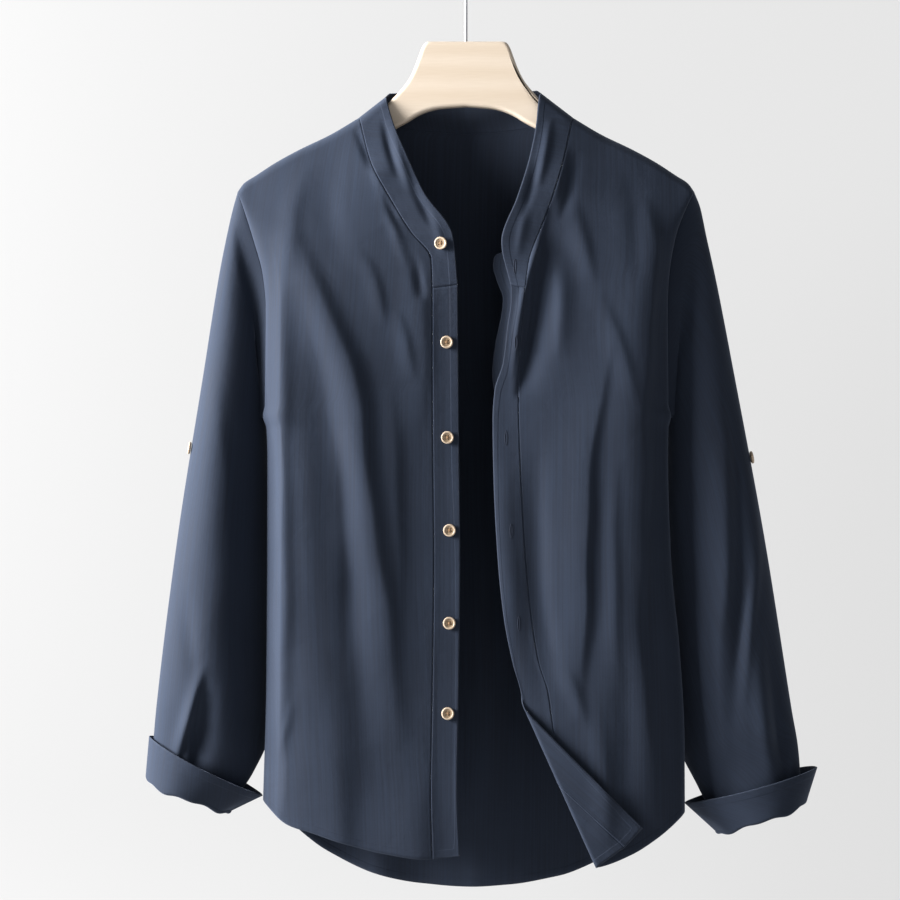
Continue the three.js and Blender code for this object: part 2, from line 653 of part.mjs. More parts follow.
// The right placket: its rows lean until one lies along the fold line, then carry on over the corner.
function rightPlacketGrid() {
  const half = HALVES.right;
  const rows = [bandEnd(half)];
  const columns = [1, 2 / 3, 1 / 3, 0];
  const start = UPPER_ROWS[COLLAR_ROW].opening;
  for (let row = COLLAR_ROW + 1; row < TURN_BACK_ROW; row += 1) {
    const { opening } = rowEnds(half, row);
    const edge = mix(start - BAND_END_RISE, TURN_BACK.topDrop, (opening - start) / (APEX.drop - start));
    rows.push(columns.map((t) =>
      frontPoint(mix(seamX(half, opening), edgeX(half, edge), t), mix(opening, edge, t))));
  }
  TURNED_SHARES.forEach((share) => {
    const seam = { x: mix(APEX.x, CORNER.seamX, share), drop: mix(APEX.drop, CORNER.seamDrop, share) };
    const edge = {
      x: mix(TURN_BACK.topX, CORNER.edgeX, share),
      drop: mix(TURN_BACK.topDrop, CORNER.edgeDrop, share),
    };
    rows.push(columns.map((t) => {
      const x = mix(seam.x, edge.x, t);
      const drop = mix(seam.drop, edge.drop, t);
      return share === 0 ? frontPoint(x, drop) : laidPoint(x, drop);
    }));
  });
  return rows;
}

// The armhole's points from the shoulder down its front to the underarm and up its back.
function armholeRing(half) {
  const ring = [];
  for (let i = 0; i < RING_POINTS; i += 1) {
    const row = Math.min(i, RING_POINTS - i);
    const drop = UPPER_ROWS[row].side;
    const x = half.sign * half.side(drop);
    ring.push(i <= UNDERARM_ROW ? frontPoint(x, drop) : backPoint(x, drop));
  }
  return ring;
}

// One ring of a sleeve: an oval between its outer and inner points, fuller towards the outside.
function ovalRing(sizes) {
  const ring = [];
  for (let i = 0; i < RING_POINTS; i += 1) {
    const angle = (Math.PI * i) / UNDERARM_ROW;
    const reach = (1 + Math.cos(angle)) / 2;
    const front = Math.sin(angle) > 0;
    const fuller = 1 + OUTER_FULLNESS * Math.cos(angle);
    const stand = (front ? sizes.front : sizes.back) * Math.abs(Math.sin(angle)) ** OVAL_BLUNTNESS * fuller;
    ring.push(new THREE.Vector3(
      mix(sizes.inX, sizes.outX, reach),
      mix(sizes.inY, 0, reach) + (front ? -stand : stand),
      -mix(sizes.inDrop, sizes.outDrop, reach),
    ));
  }
  return ring;
}

function sleeveSizes(table, ring) {
  const sizes = {};
  ["outX", "outDrop", "inX", "inDrop", "inY", "front", "back"].forEach((column) => {
    sizes[column] = reader(table, "ring", column)(ring);
  });
  return sizes;
}

// A sleeve: rings that fan out from the armhole about the underarm and run down to the turned-up end.
function sleeveGrid(half, table, folds) {
  const armhole = armholeRing(half);
  const flatArmhole = ovalRing(sleeveSizes(table, 0));
  const rings = [];
  for (let k = 0; k <= SLEEVE_RINGS; k += 1) {
    const asideShare = Math.max(1 - k / ARMHOLE_FADE.aside, 0) ** 1.2;
    const depthShare = Math.max(1 - k / ARMHOLE_FADE.depth, 0) ** 2;
    const free = clamp((k - 3) / 2, 0, 1) * clamp((SLEEVE_RINGS - k) / 1.5, 0, 1);
    rings.push(ovalRing(sleeveSizes(table, k)).map((place, i) => {
      if (k === 0) return armhole[i];
      const moved = place.clone();
      moved.x += (armhole[i].x - flatArmhole[i].x) * asideShare;
      moved.z += (armhole[i].z - flatArmhole[i].z) * asideShare;
      moved.y += (armhole[i].y - flatArmhole[i].y) * depthShare;
      const facing = i < UNDERARM_ROW ? Math.sin((Math.PI * i) / UNDERARM_ROW) : 0;
      moved.y -= foldHeight(folds, moved.x, -moved.z) * free * facing;
      return moved;
    }));
  }
  return rings;
}

// A turned-up end: the cloth rolls under the sleeve's last ring and rises outside it to the lip.
function cuffGrid(sleeveEnd, lip) {
  const centre = sleeveEnd.reduce((sum, p) => sum.add(p), new THREE.Vector3()).divideScalar(sleeveEnd.length);
  const away = sleeveEnd.map((p) => p.clone().sub(centre).setZ(0).normalize());
  const rings = [];
  for (let step = 0; step <= CUFF_FOLD_STEPS; step += 1) {
    const angle = (Math.PI * step) / CUFF_FOLD_STEPS;
    const out = CUFF_FOLD_RADIUS * (1 - Math.cos(angle));
    const down = CUFF_FOLD_RADIUS * Math.sin(angle);
    rings.push(sleeveEnd.map((p, i) => {
      const moved = p.clone().addScaledVector(away[i], out);
      moved.z -= down;
      return moved;
    }));
  }
  const bottom = rings[CUFF_FOLD_STEPS];
  const lipRing = ovalRing(lip);
  for (let step = 1; step <= CUFF_BAND_STEPS; step += 1) {
    const share = step / CUFF_BAND_STEPS;
    rings.push(bottom.map((p, i) => p.clone().lerp(lipRing[i], share)));
  }
  return rings;
}

// Closes a grid of rings round into a tube whose faces look outwards on either side of the shirt.
function roundTube(rings, half) {
  return rings.map((ring) => {
    const ordered = half.sign < 0 ? [...ring] : [...ring].reverse();
    return [...ordered, ordered[0]];
  });
}

// A sheet of cloth from grids of points: rows run down and columns to the right as seen from outside.
// Grids that share points are joined there.
function makeSheet(grids) {
  const points = [];
  const triangles = [];
  const indexOf = new Map();
  const keyOf = (p) => [p.x, p.y, p.z].map((value) => Math.round(value * 200)).join();
  const number = (p) => {
    const key = keyOf(p);
    if (!indexOf.has(key)) {
      indexOf.set(key, points.length);
      points.push({ key, place: p.clone(), normal: new THREE.Vector3() });
    }
    return indexOf.get(key);
  };
  const addTriangle = (corners) => {
    if (new Set(corners).size === 3) triangles.push(corners);
  };
  grids.forEach((rows) => {
    const numbers = rows.map((row) => row.map(number));
    for (let r = 0; r + 1 < numbers.length; r += 1) {
      for (let c = 0; c + 1 < numbers[r].length; c += 1) {
        const [a, b] = [numbers[r][c], numbers[r + 1][c]];
        const [d, e] = [numbers[r + 1][c + 1], numbers[r][c + 1]];
        addTriangle([a, b, d]);
        addTriangle([a, d, e]);
      }
    }
  });
  triangles.forEach(([a, b, c]) => {
    const one = points[b].place.clone().sub(points[a].place);
    const two = points[c].place.clone().sub(points[a].place);
    const face = one.cross(two);
    [a, b, c].forEach((i) => points[i].normal.add(face));
  });
  points.forEach((point) => point.normal.normalize());
  return { points, triangles };
}

// Sheets that meet at a seam take the same direction there, so their ends face each other squarely.
function shareSeamDirections(sheets) {
  const sums = new Map();
  sheets.forEach(({ points }) => points.forEach(({ key, normal }) => {
    sums.set(key, (sums.get(key) || new THREE.Vector3()).add(normal));
  }));
  sheets.forEach(({ points }) => points.forEach((point) => {
    point.normal = sums.get(point.key).clone().normalize();
  }));
}

// The wall of a sheet: both faces, each moved half the thickness, and a rim along every open edge.
// Open edges are first drawn in by half a seam's gap.
function wallGeometry({ points, triangles }, thickness) {
  const edges = new Set();
  triangles.forEach(([a, b, c]) => [[a, b], [b, c], [c, a]].forEach((edge) => edges.add(edge.join())));
  const pairs = [...edges].map((edge) => edge.split(",").map(Number));
  const open = pairs.filter(([a, b]) => !edges.has(`${b},${a}`));
  const before = new Map(open.map(([a, b]) => [b, a]));
  const places = points.map(({ place }) => place.clone());
  open.forEach(([a, b]) => {
    const along = points[b].place.clone().sub(points[before.get(a)].place);
    const inward = points[a].normal.clone().cross(along).normalize();
    places[a].addScaledVector(inward, SEAM_GAP / 2);
  });
  const count = points.length;
  const positions = [];
  [thickness / 2, -thickness / 2].forEach((offset) => {
    places.forEach((place, i) => {
      positions.push(...place.clone().addScaledVector(points[i].normal, offset).toArray());
    });
  });
  const index = [];
  triangles.forEach(([a, b, c]) => index.push(a, b, c, count + a, count + c, count + b));
  open.forEach(([a, b]) => index.push(b, a, count + a, b, count + a, count + b));
  const geometry = new THREE.BufferGeometry();
  geometry.setAttribute("position", new THREE.Float32BufferAttribute(positions, 3));
  geometry.setIndex(index);
  return geometry;
}

const wasm = await Module();
wasm.setup();

function toSolid(geometry) {
  const bare = geometry.clone();
  bare.deleteAttribute("normal");
  bare.deleteAttribute("uv");
  const merged = mergeVertices(bare);
  return new wasm.Manifold(new wasm.Mesh({
    numProp: 3,
    vertProperties: new Float32Array(merged.attributes.position.array),
    triVerts: new Uint32Array(merged.index.array),
  }));
}

function toGeometry(solid) {
  const mesh = solid.getMesh();
  const geometry = new THREE.BufferGeometry();
  geometry.setAttribute("position", new THREE.BufferAttribute(mesh.vertProperties, 3));
  geometry.setIndex(new THREE.BufferAttribute(mesh.triVerts, 1));
  geometry.computeVertexNormals();
  return geometry;
}

// A button with its axis along +Z and its back face at zero: a dished face in a rim, and four holes.
function buttonGeometry() {
  const { thickness, holeRadius, holeOffset, segments, holeSegments } = BUTTON;
  const profile = BUTTON_PROFILE.map(({ radius, height }) => new THREE.Vector2(radius, height));
  const body = toSolid(new THREE.LatheGeometry(profile, segments).rotateX(HALF_PI));
  const holes = [[1, 1], [1, -1], [-1, 1], [-1, -1]].map(([signX, signY]) => {
    const hole = new THREE.CylinderGeometry(holeRadius, holeRadius, 2 * thickness, holeSegments);
    return toSolid(hole.rotateX(HALF_PI).translate(signX * holeOffset, signY * holeOffset, thickness / 2));
  });
  return toGeometry(holes.reduce((solid, hole) => solid.subtract(hole), body));
}

// A button that faces along a direction, with its back just clear of cloth whose middle runs through a place.
function buttonMesh(name, place, direction, clothHalf) {
  const mesh = new THREE.Mesh(buttonGeometry(), woodenButton());
  mesh.name = name;
  mesh.quaternion.setFromUnitVectors(new THREE.Vector3(0, 0, 1), direction);
  mesh.position.copy(place).addScaledVector(direction, clothHalf + SEAM_GAP);
  return mesh;
}

function frontDirection(x, drop) {
  const step = BUTTON.holeOffset;
  const acrossStep = frontPoint(x + step, drop).sub(frontPoint(x - step, drop));
  const downStep = frontPoint(x, drop + step).sub(frontPoint(x, drop - step));
  return downStep.cross(acrossStep).normalize();
}

function boardGeometry() {
  const upper = BOARD_EDGE.map(({ across, top }) => new THREE.Vector2(across, -top));
  const lower = BOARD_EDGE.map(({ across, bottom }) => new THREE.Vector2(across, -bottom));
  const mirrored = (list) => list.slice(1).map((p) => new THREE.Vector2(-p.x, p.y));
  const outline = [...mirrored(lower).reverse(), ...lower, ...[...upper].reverse(), ...mirrored(upper)];
  const board = new THREE.ExtrudeGeometry(new THREE.Shape(outline), {
    depth: BOARD_THICKNESS - 2 * BOARD_BEVEL,
    bevelEnabled: true,
    bevelThickness: BOARD_BEVEL,
    bevelSize: BOARD_BEVEL,
    bevelOffset: -BOARD_BEVEL,
    bevelSegments: 2,
  });
  board.rotateX(HALF_PI).translate(0, BOARD_THICKNESS / 2 - BOARD_BEVEL, 0);
  const hole = new THREE.CylinderGeometry(HOOK_HOLE_RADIUS, HOOK_HOLE_RADIUS, HOOK_HOLE_DEPTH * 2, 12);
  hole.rotateX(HALF_PI).translate(0, 0, -BOARD_EDGE[0].top);
  return toGeometry(toSolid(board).subtract(toSolid(hole)));
}

// The hook's middle line: up from the board, over to the right and round the crook, ending left of the stem.
function hookGeometry() {
  const centreDrop = HOOK_RADIUS - WIRE_RADIUS;
  const stem = [0, 1 / 3, 2 / 3, 1].map((share) => -mix(HOOK_STEM_FOOT, HOOK_STEM_TOP, share));
  const points = stem.map((z) => new THREE.Vector3(0, 0, z));
  const bend = new THREE.CubicBezierCurve3(
    new THREE.Vector3(0, 0, -HOOK_STEM_TOP),
    new THREE.Vector3(0, 0, -HOOK_STEM_TOP + 20),
    new THREE.Vector3(HOOK_RADIUS, 0, -centreDrop - 22),
    new THREE.Vector3(HOOK_RADIUS, 0, -centreDrop),
  );
  points.push(...bend.getPoints(6).slice(1, -1));
  for (let i = 0; i <= 12; i += 1) {
    const angle = (HOOK_END_ANGLE * i) / 12;
    const x = HOOK_RADIUS * Math.cos(angle);
    points.push(new THREE.Vector3(x, 0, HOOK_RADIUS * Math.sin(angle) - centreDrop));
  }
  const path = new THREE.CatmullRomCurve3(points, false, "centripetal");
  const section = [];
  for (let i = 0; i < 8; i += 1) {
    const angle = (Math.PI * i) / 4;
    section.push(new THREE.Vector2(WIRE_RADIUS * Math.cos(angle), WIRE_RADIUS * Math.sin(angle)));
  }
  return new THREE.ExtrudeGeometry(new THREE.Shape(section), { steps: 40, extrudePath: path });
}

const material = (settings) => () => new THREE.MeshStandardMaterial(settings);
const linen = material({ color: 0x1a2236, roughness: 0.92 });
const woodenButton = material({ color: 0xb79a74, roughness: 0.6 });
const paleWood = material({ color: 0xe6cfae, roughness: 0.5 });
const steel = material({ color: 0xb8bcc0, roughness: 0.25, metalness: 1 });

const { left, right } = HALVES;
const mirrorColumns = (rows) => rows.map((row) => [...row].reverse());
const leftSleeve = sleeveGrid(left, LEFT_SLEEVE, LEFT_SLEEVE_FOLDS);
const rightSleeve = sleeveGrid(right, RIGHT_SLEEVE, RIGHT_SLEEVE_FOLDS);
const leftCuff = cuffGrid(leftSleeve.at(-1), LEFT_LIP);
const rightCuff = cuffGrid(rightSleeve.at(-1), RIGHT_LIP);

const CLOTH_PIECES = [
  { name: "back_panel", grids: [backGrid()], thickness: CLOTH },
  { name: "front_button_side", grids: [mirrorColumns(frontGrid(left))], thickness: CLOTH },
  { name: "front_buttonhole_side", grids: [frontGrid(right), turnedGrid()], thickness: CLOTH },
  { name: "placket_button_side", grids: [leftPlacketGrid()], thickness: DOUBLED_CLOTH },
  { name: "placket_buttonhole_side", grids: [rightPlacketGrid()], thickness: DOUBLED_CLOTH },
  { name: "placket_under_layer", grids: [underLayerGrid()], thickness: CLOTH },
  { name: "collar_band", grids: [mirrorColumns(collarGrid())], thickness: DOUBLED_CLOTH },
  { name: "sleeve_left", grids: [roundTube(leftSleeve, left)], thickness: CLOTH },
  { name: "sleeve_right", grids: [roundTube(rightSleeve, right)], thickness: CLOTH },
  { name: "cuff_left", grids: [roundTube(leftCuff, left)], thickness: CLOTH },
  { name: "cuff_right", grids: [roundTube(rightCuff, right)], thickness: CLOTH },
];

const shirt = new THREE.Group();
const sheets = CLOTH_PIECES.map(({ grids }) => makeSheet(grids));
shareSeamDirections(sheets);
CLOTH_PIECES.forEach(({ name, thickness }, i) => {
  const mesh = new THREE.Mesh(wallGeometry(sheets[i], thickness), linen());
  mesh.name = name;
  shirt.add(mesh);
});

BUTTONS.forEach(({ x, drop }, i) => {
  shirt.add(buttonMesh(`button_${i + 1}`, frontPoint(x, drop), frontDirection(x, drop), DOUBLED_CLOTH / 2));
});

[
  { name: "sleeve_button_left", table: LEFT_SLEEVE, drop: SLEEVE_BUTTONS.left, sign: -1 },
  { name: "sleeve_button_right", table: RIGHT_SLEEVE, drop: SLEEVE_BUTTONS.right, sign: 1 },
].forEach(({ name, table, drop, sign }) => {
  const outer = reader(table, "outDrop", "outX");
  const along = new THREE.Vector3(outer(drop + 10) - outer(drop - 10), 0, -20);
  const direction = new THREE.Vector3(-along.z * sign, 0, along.x * sign).normalize();
  shirt.add(buttonMesh(name, new THREE.Vector3(outer(drop), 0, -drop), direction, CLOTH / 2));
});

const board = new THREE.Mesh(boardGeometry(), paleWood());
board.name = "hanger_board";
const hook = new THREE.Mesh(hookGeometry(), steel());
hook.name = "hanger_hook";
shirt.add(board, hook);

export default shirt;
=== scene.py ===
import math
import bpy
import numpy as np
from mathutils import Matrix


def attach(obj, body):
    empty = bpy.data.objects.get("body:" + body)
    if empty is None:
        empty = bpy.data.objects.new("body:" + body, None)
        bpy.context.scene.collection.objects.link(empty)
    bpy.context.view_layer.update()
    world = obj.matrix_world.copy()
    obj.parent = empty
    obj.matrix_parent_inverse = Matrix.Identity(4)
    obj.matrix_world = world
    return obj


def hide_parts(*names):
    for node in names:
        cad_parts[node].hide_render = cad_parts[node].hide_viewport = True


# The looks of a band-collar linen shirt on its hanger. The shirt's and hanger's settings are in millimetres,
# those of the materials and the stage in metres, with +Z up and the front at -Y. A drop is a distance below
# the hook, across is a distance from the middle, and left and right are the viewer's.
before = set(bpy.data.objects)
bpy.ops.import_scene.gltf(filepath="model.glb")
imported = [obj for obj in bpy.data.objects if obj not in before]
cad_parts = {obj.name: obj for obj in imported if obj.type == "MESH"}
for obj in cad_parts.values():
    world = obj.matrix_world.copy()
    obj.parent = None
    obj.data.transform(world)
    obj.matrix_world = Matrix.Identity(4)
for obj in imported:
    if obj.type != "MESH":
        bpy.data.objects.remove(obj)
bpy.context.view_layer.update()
print("frame loaded:", len(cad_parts), "nodes")


def mix(a, b, t):
    # a, and the share t of the way from it to b
    return a + (b - a) * t


def ease(t):
    # a soft rise from 0 to 1: three times t squared less twice t cubed
    t = np.clip(t, 0, 1)
    return t * t * (3 - 2 * t)


def reader(rows, place=0, value=1):
    # a cubic through the rows of a table, with its slopes limited so that it never overshoots
    p = np.array([row[place] for row in rows], float)
    v = np.array([row[value] for row in rows], float)
    slopes = np.diff(v) / np.diff(p)
    before, after = np.r_[slopes[:1], slopes], np.r_[slopes, slopes[-1:]]
    both = before * after
    turn = np.where(both > 0, 2 * both / np.where(both > 0, before + after, 1), 0)

    def read(x):
        x = np.clip(x, p[0], p[-1])
        i = np.clip(np.searchsorted(p, x, side="right") - 1, 0, len(p) - 2)
        span = p[i + 1] - p[i]
        t = (x - p[i]) / span
        rise = turn[i] * span * t * (1 - t) ** 2 + turn[i + 1] * span * t * t * (t - 1)
        return v[i] * (1 + 2 * t) * (1 - t) ** 2 + v[i + 1] * t * t * (3 - 2 * t) + rise

    return read


# ---- the body's form
body = {
    "shoulder": [(100, 171), (127, 187), (156, 201), (178, 213), (198, 226), (208, 232.5), (214, 240.5)],
    "neckSlope": 0.59,
    "underarm": 452,
    "armholeStand": {"front": 10, "back": 36},
    "armholeTurn": 62,
    "rimFade": (150, 230, 8),  # its start above the underarm, its reach, and the power that frees the seam
    "power": {"front": 3.2, "back": 2.1},
    "overArm": (9, 0.33),  # radius over the hanger's arm, and how fast the cloth then stands out
    "creaseFree": (30, 12),  # the depth from which creases are full, and how fast they grow from the side
    "fullness": [(170, 38, 40), (300, 42, 43), (460, 46, 47), (900, 48, 52)],  # drop, front, back
    "openingRows": [171, 172.5, 176, 183, 197, 222, 255, 294, 333, 355, 377, 399, 422],
    "sideRows": [240.5, 242, 245.5, 251.5, 263, 282, 306, 332, 358, 383, 408, 431, 452],
    "collarRow": 8,
    "underarmRow": 12,
    "lastRow": 30,
    "bunching": 0.8,
    "shoulderReach": 120,
}
leftHalf = {
    "sign": -1,
    "side": [(240.5, 214), (254, 209), (285, 199), (321, 189.5), (350, 187), (440, 188), (452, 190.2),
             (462, 187), (490, 186), (700, 187), (812, 190)],
    "neck": [(171, 100), (215, 88.5), (250, 70), (281, 51), (306, 32), (333, 31)],
    "edge": [(306, 9.3, 31), (323, 8, 31), (384, 7.5, 31), (483, 6.6, 30.5), (586, 5.6, 29.5), (709, 7, 31),
             (803, 8.5, 32.5), (860, 6, 31)],  # drop, front edge, placket seam
    "hem": [(5, 858), (36, 861), (75, 856), (111, 847), (142, 837), (165, 830), (190, 810)],
    "sideFoot": 810,
}
rightHalf = {
    "sign": 1,
    "side": [(240.5, 214), (254, 207), (285, 195.5), (321, 189.5), (350, 188), (440, 189), (452, 192),
             (462, 189.5), (490, 189), (586, 192), (671, 200), (752, 204.5), (830, 205)],
    "neck": [(171, 100), (215, 90), (248, 80), (276, 69.6), (306, 58.5), (333, 54)],
    "edge": [(306, 31, 58), (318, 35.7, 56), (333, 41.4, 54), (345, 41.4, 53), (366, 38.5, 51),
             (403, 33.8, 48.5), (427, 26.3, 48), (455, 24.4, 48.5), (511, 25.4, 50.5), (582, 29.1, 54.5),
             (638, 34.8, 60), (680, 43, 67), (708.6, 50.8, 75.8), (878, 68.6, 93.6)],
    "hem": [(90, 873), (123, 868), (153, 857), (179.5, 841), (205, 821)],
    "sideFoot": 821,
}
# the right front's lower corner, turned back over its own front along a straight fold
turnBack = {
    "top": (50.8, 708.6), "foot": (122.5, 868), "radius": 2.6, "lift": 0.05, "bunching": 1.2,
    "apex": (83.4, 781.1), "cornerEdge": (61.1, 877.4), "cornerSeam": (85.7, 876.4), "row": 21,
    "sideAtTurn": 748,
    "shares": [0, 0.03, 0.065, 0.11, 0.17, 0.25, 0.38, 0.55, 0.77, 1],
}
backPanel = {
    "hem": [(-190, 810), (-165, 838), (-132, 866), (-88, 888), (-42, 899), (0, 902), (42, 900), (90, 891),
            (130, 873), (170, 849), (205, 821)],
    "neckShare": 5 / 11,  # the share of the top edge's columns that the nape takes
    "nape": [(0, 182.5), (30, 181.5), (60, 178.5), (80, 175.2), (100, 171)],
}
# creases: the crest's path as (x, drop) from top to foot, width to its left and right, height (a trough is
# below zero), and how far down its path it is highest
creaseForm = {"sway": 0.05, "swayLengths": (37, 15), "fade": 0.9}
frontCreases = [
    ([(-4, 236), (-4, 600), (4, 1000)], 76, 84, -11, 0.5),
    ([(-170, 270), (-171, 560), (-168, 880)], 12, 54, 10.5, 0.5),
    ([(-172, 300), (-171, 450), (-170, 640), (-173, 830)], 11, 9, 4.4, 0.5),
    ([(-160, 276), (-128, 361), (-107, 410), (-94, 483), (-84, 568), (-74, 645), (-62, 760)],
     20, 10, 6.4, 0.42),
    ([(-158, 330), (-137, 408), (-122, 483), (-115, 568), (-106, 645), (-96, 760)], 25, 14, -5.6, 0.45),
    ([(-126, 470), (-120, 560), (-118, 680)], 12, 8, 1.4, 0.5),
    ([(-74, 420), (-66, 520), (-60, 640)], 16, 8, 2.6, 0.5),
    ([(-66, 352), (-56, 384), (-50, 420)], 9, 5, 1.7, 0.5),
    ([(-50, 292), (-41, 352), (-39, 400), (-44, 470)], 17, 9, 2.4, 0.45),
    ([(-47, 300), (-44, 320), (-41, 345)], 5, 4, -2.6, 0.6),
    ([(-100, 560), (-92, 700), (-96, 900)], 16, 20, -1.6, 0.6),
    ([(-50, 690), (-44, 790), (-42, 920)], 22, 14, 2.6, 0.7),
    ([(-122, 640), (-117, 760), (-119, 920)], 18, 12, 1.5, 0.6),
    ([(-160, 712), (-167, 742), (-175, 768)], 4, 5, 0.9, 0.5),
    ([(-104, 180), (-96, 200), (-86, 226)], 4, 5, -3.6, 0.45),
    ([(-90, 212), (-80, 236), (-68, 262)], 4, 3, 2.2, 0.5),
    ([(-84, 228), (-73, 252), (-60, 280)], 3, 4, -1.9, 0.5),
    ([(-74, 262), (-64, 284), (-56, 312)], 5, 3, 1.7, 0.5),
    ([(95, 196), (88, 226), (80, 256)], 5, 3.5, 2.2, 0.5),
    ([(102, 204), (96, 236), (88, 270)], 4, 6, -2.4, 0.5),
    ([(-96, 300), (-84, 330), (-76, 372)], 9, 5, 1.6, 0.5),
    ([(-70, 246), (-58, 262), (-50, 286)], 4, 5, -1.5, 0.5),
    ([(-150, 214), (-162, 262), (-166, 320)], 12, 9, 2.4, 0.5),
    ([(-120, 196), (-128, 250), (-118, 320)], 14, 12, -1.6, 0.5),
    ([(163, 244), (174, 304), (169, 380), (164, 460), (160, 560), (160, 650), (166, 740), (172, 850)],
     34, 9, 7.5, 0.35),
    ([(135, 372), (117, 474), (113, 540), (108, 640), (104, 712)], 24, 5, 5, 0.6),
    ([(122, 336), (143, 390), (156, 440)], 12, 6, 1.7, 0.5),
    ([(74, 282), (63, 342), (57, 384), (48, 436)], 3.5, 15, -8.5, 0.55),
    ([(76, 254), (65, 296), (55, 332), (48, 370), (42, 420)], 4, 2.6, 2.8, 0.45),
    ([(70, 286), (63, 304), (58, 322)], 3, 2.4, 1.3, 0.5),
    ([(82, 300), (88, 344), (86, 400)], 6, 9, 2.2, 0.5),
    ([(98, 250), (110, 290), (118, 330)], 10, 5, 1.9, 0.5),
    ([(74, 262), (92, 306), (104, 352)], 20, 15, -3, 0.45),
    ([(30, 430), (33, 560), (43, 660), (58, 730)], 12, 15, 4.5, 0.55),
    ([(64, 470), (68, 600), (82, 712)], 13, 9, -3.4, 0.5),
    ([(92, 684), (102, 709), (110, 738)], 9, 6, 2, 0.5),
    ([(137, 486), (135, 560), (137, 640), (143, 720)], 10, 6, 1.9, 0.5),
    ([(140, 650), (148, 740), (150, 850)], 12, 12, -2.4, 0.5),
    ([(118, 700), (126, 770), (130, 850)], 12, 8, 2, 0.6),
    ([(150, 214), (158, 262), (156, 330)], 9, 12, -1.6, 0.5),
]
backCreases = [
    ([(-134, 280), (-124, 460), (-126, 700), (-118, 960)], 18, 24, 5.5, 0.5),
    ([(-90, 330), (-84, 560), (-80, 980)], 16, 20, -6, 0.6),
    ([(-30, 230), (-34, 500), (-40, 980)], 24, 18, 5, 0.5),
    ([(20, 340), (16, 620), (12, 980)], 15, 20, -5.5, 0.6),
    ([(64, 262), (70, 500), (75, 980)], 20, 16, 6, 0.5),
    ([(112, 320), (122, 560), (126, 960)], 18, 13, -5, 0.5),
    ([(-160, 250), (-122, 330), (-96, 460)], 16, 10, 3, 0.5),
    ([(158, 250), (128, 344), (104, 500)], 12, 18, 3, 0.45),
    ([(-8, 520), (-4, 640), (-12, 800)], 8, 11, 2.2, 0.5),
    ([(46, 600), (50, 720), (44, 900)], 9, 7, 2, 0.5),
    ([(-62, 560), (-66, 700), (-58, 860)], 7, 10, -1.8, 0.5),
    ([(150, 520), (158, 700), (160, 860)], 12, 9, 2.4, 0.5),
]


def creaseHeight(creases, x, drop):
    # the sum of all creases: each is bell-shaped across, steeper on its narrow side, and swells, fades and
    # sways a little on its way down
    total = np.zeros(np.broadcast(x, drop).shape)
    for path, leftWidth, rightWidth, height, highest in creases:
        top, foot = path[0][1], path[-1][1]
        crest = reader(path, 1, 0)
        lean = (crest(drop + 2) - crest(drop - 2)) / 4
        slow, quick = (np.sin(drop / length + path[0][0]) for length in creaseForm["swayLengths"])
        sway = creaseForm["sway"] * (leftWidth + rightWidth) * (slow + 0.5 * quick)
        aside = (x - crest(drop) - sway) / np.sqrt(1 + lean**2)
        along = np.clip((drop - top) / (foot - top), 0, 1) ** (math.log(0.5) / math.log(highest))
        width = np.where(aside < 0, leftWidth, rightWidth)
        total += height * np.sin(math.pi * along) ** creaseForm["fade"] * np.exp(-((aside / width) ** 2))
    return total


for half in (leftHalf, rightHalf):
    half["sideAt"] = reader(half["side"])
    half["neckAt"] = reader(half["neck"])
    half["edgeAt"] = reader(half["edge"])
    half["seamAt"] = reader(half["edge"], 0, 2)
    half["hemAt"] = reader(half["hem"])
shoulderSeam = reader(body["shoulder"])
fullness = {"front": reader(body["fullness"], 0, 1), "back": reader(body["fullness"], 0, 2)}
napeAt = reader(backPanel["nape"])
backHemAt = reader(backPanel["hem"])
rowOpening = reader(list(enumerate(body["openingRows"])))
rowSide = reader(list(enumerate(body["sideRows"])))
turnedShare = reader([(turnBack["row"] + k, share) for k, share in enumerate(turnBack["shares"])])
creases = {"front": frontCreases, "back": backCreases}


def shoulderLine(across):
    # the shoulder seam's drop, carried on towards the neck in a straight rise
    return shoulderSeam(across) - body["neckSlope"] * np.maximum(body["shoulder"][0][0] - across, 0)


def standOut(x, drop, face):
    # how far the cloth stands from the middle plane: a quarter round over the hanger's arm, then a slope that
    # is softly capped by a rounded section, which closes at the side seam below the underarm, more slowly away
    # from the seam; creases are added where the cloth is free
    across = np.abs(x)
    side = np.where(x < 0, leftHalf["sideAt"](drop), rightHalf["sideAt"](drop))
    share = np.clip(across / side, 0, 1)
    turned = np.clip((drop - body["underarm"] + body["armholeTurn"]) / body["armholeTurn"], 0, 1)
    start, reach, narrow = body["rimFade"]
    soft = (1 + np.cos(math.pi * np.clip((drop - body["underarm"] + start) / reach, 0, 1))) / 2
    rim = body["armholeStand"][face] * mix(soft, np.sqrt(1 - turned**2), share**narrow)
    power = body["power"][face]
    filled = rim + (fullness[face](drop) - rim) * (1 - share**power) ** (1 / power)
    below = np.maximum(drop - shoulderLine(across), 0)
    radius, growth = body["overArm"]
    turn = np.minimum(below / radius, 1)
    over = radius * np.sqrt(1 - (1 - turn) ** 2) + growth * below
    depth = filled * over / np.maximum(filled**4 + over**4, 1e-9) ** 0.25
    freeDepth, freeing = body["creaseFree"]
    free = np.clip(depth / freeDepth, 0, 1) * np.clip((1 - share) * freeing, 0, 1)
    return depth + creaseHeight(creases[face], x, drop) * free


def onFace(x, drop, face):
    # x, how far the cloth stands out to the front or the back, and the drop downwards
    x, drop = np.broadcast_arrays(x, drop)
    stand = standOut(x, drop, face)
    return np.stack([x, -stand if face == "front" else stand, -drop], -1)


def onFront(x, drop):
    return onFace(x, drop, "front")


def onBack(x, drop):
    return onFace(x, drop, "back")


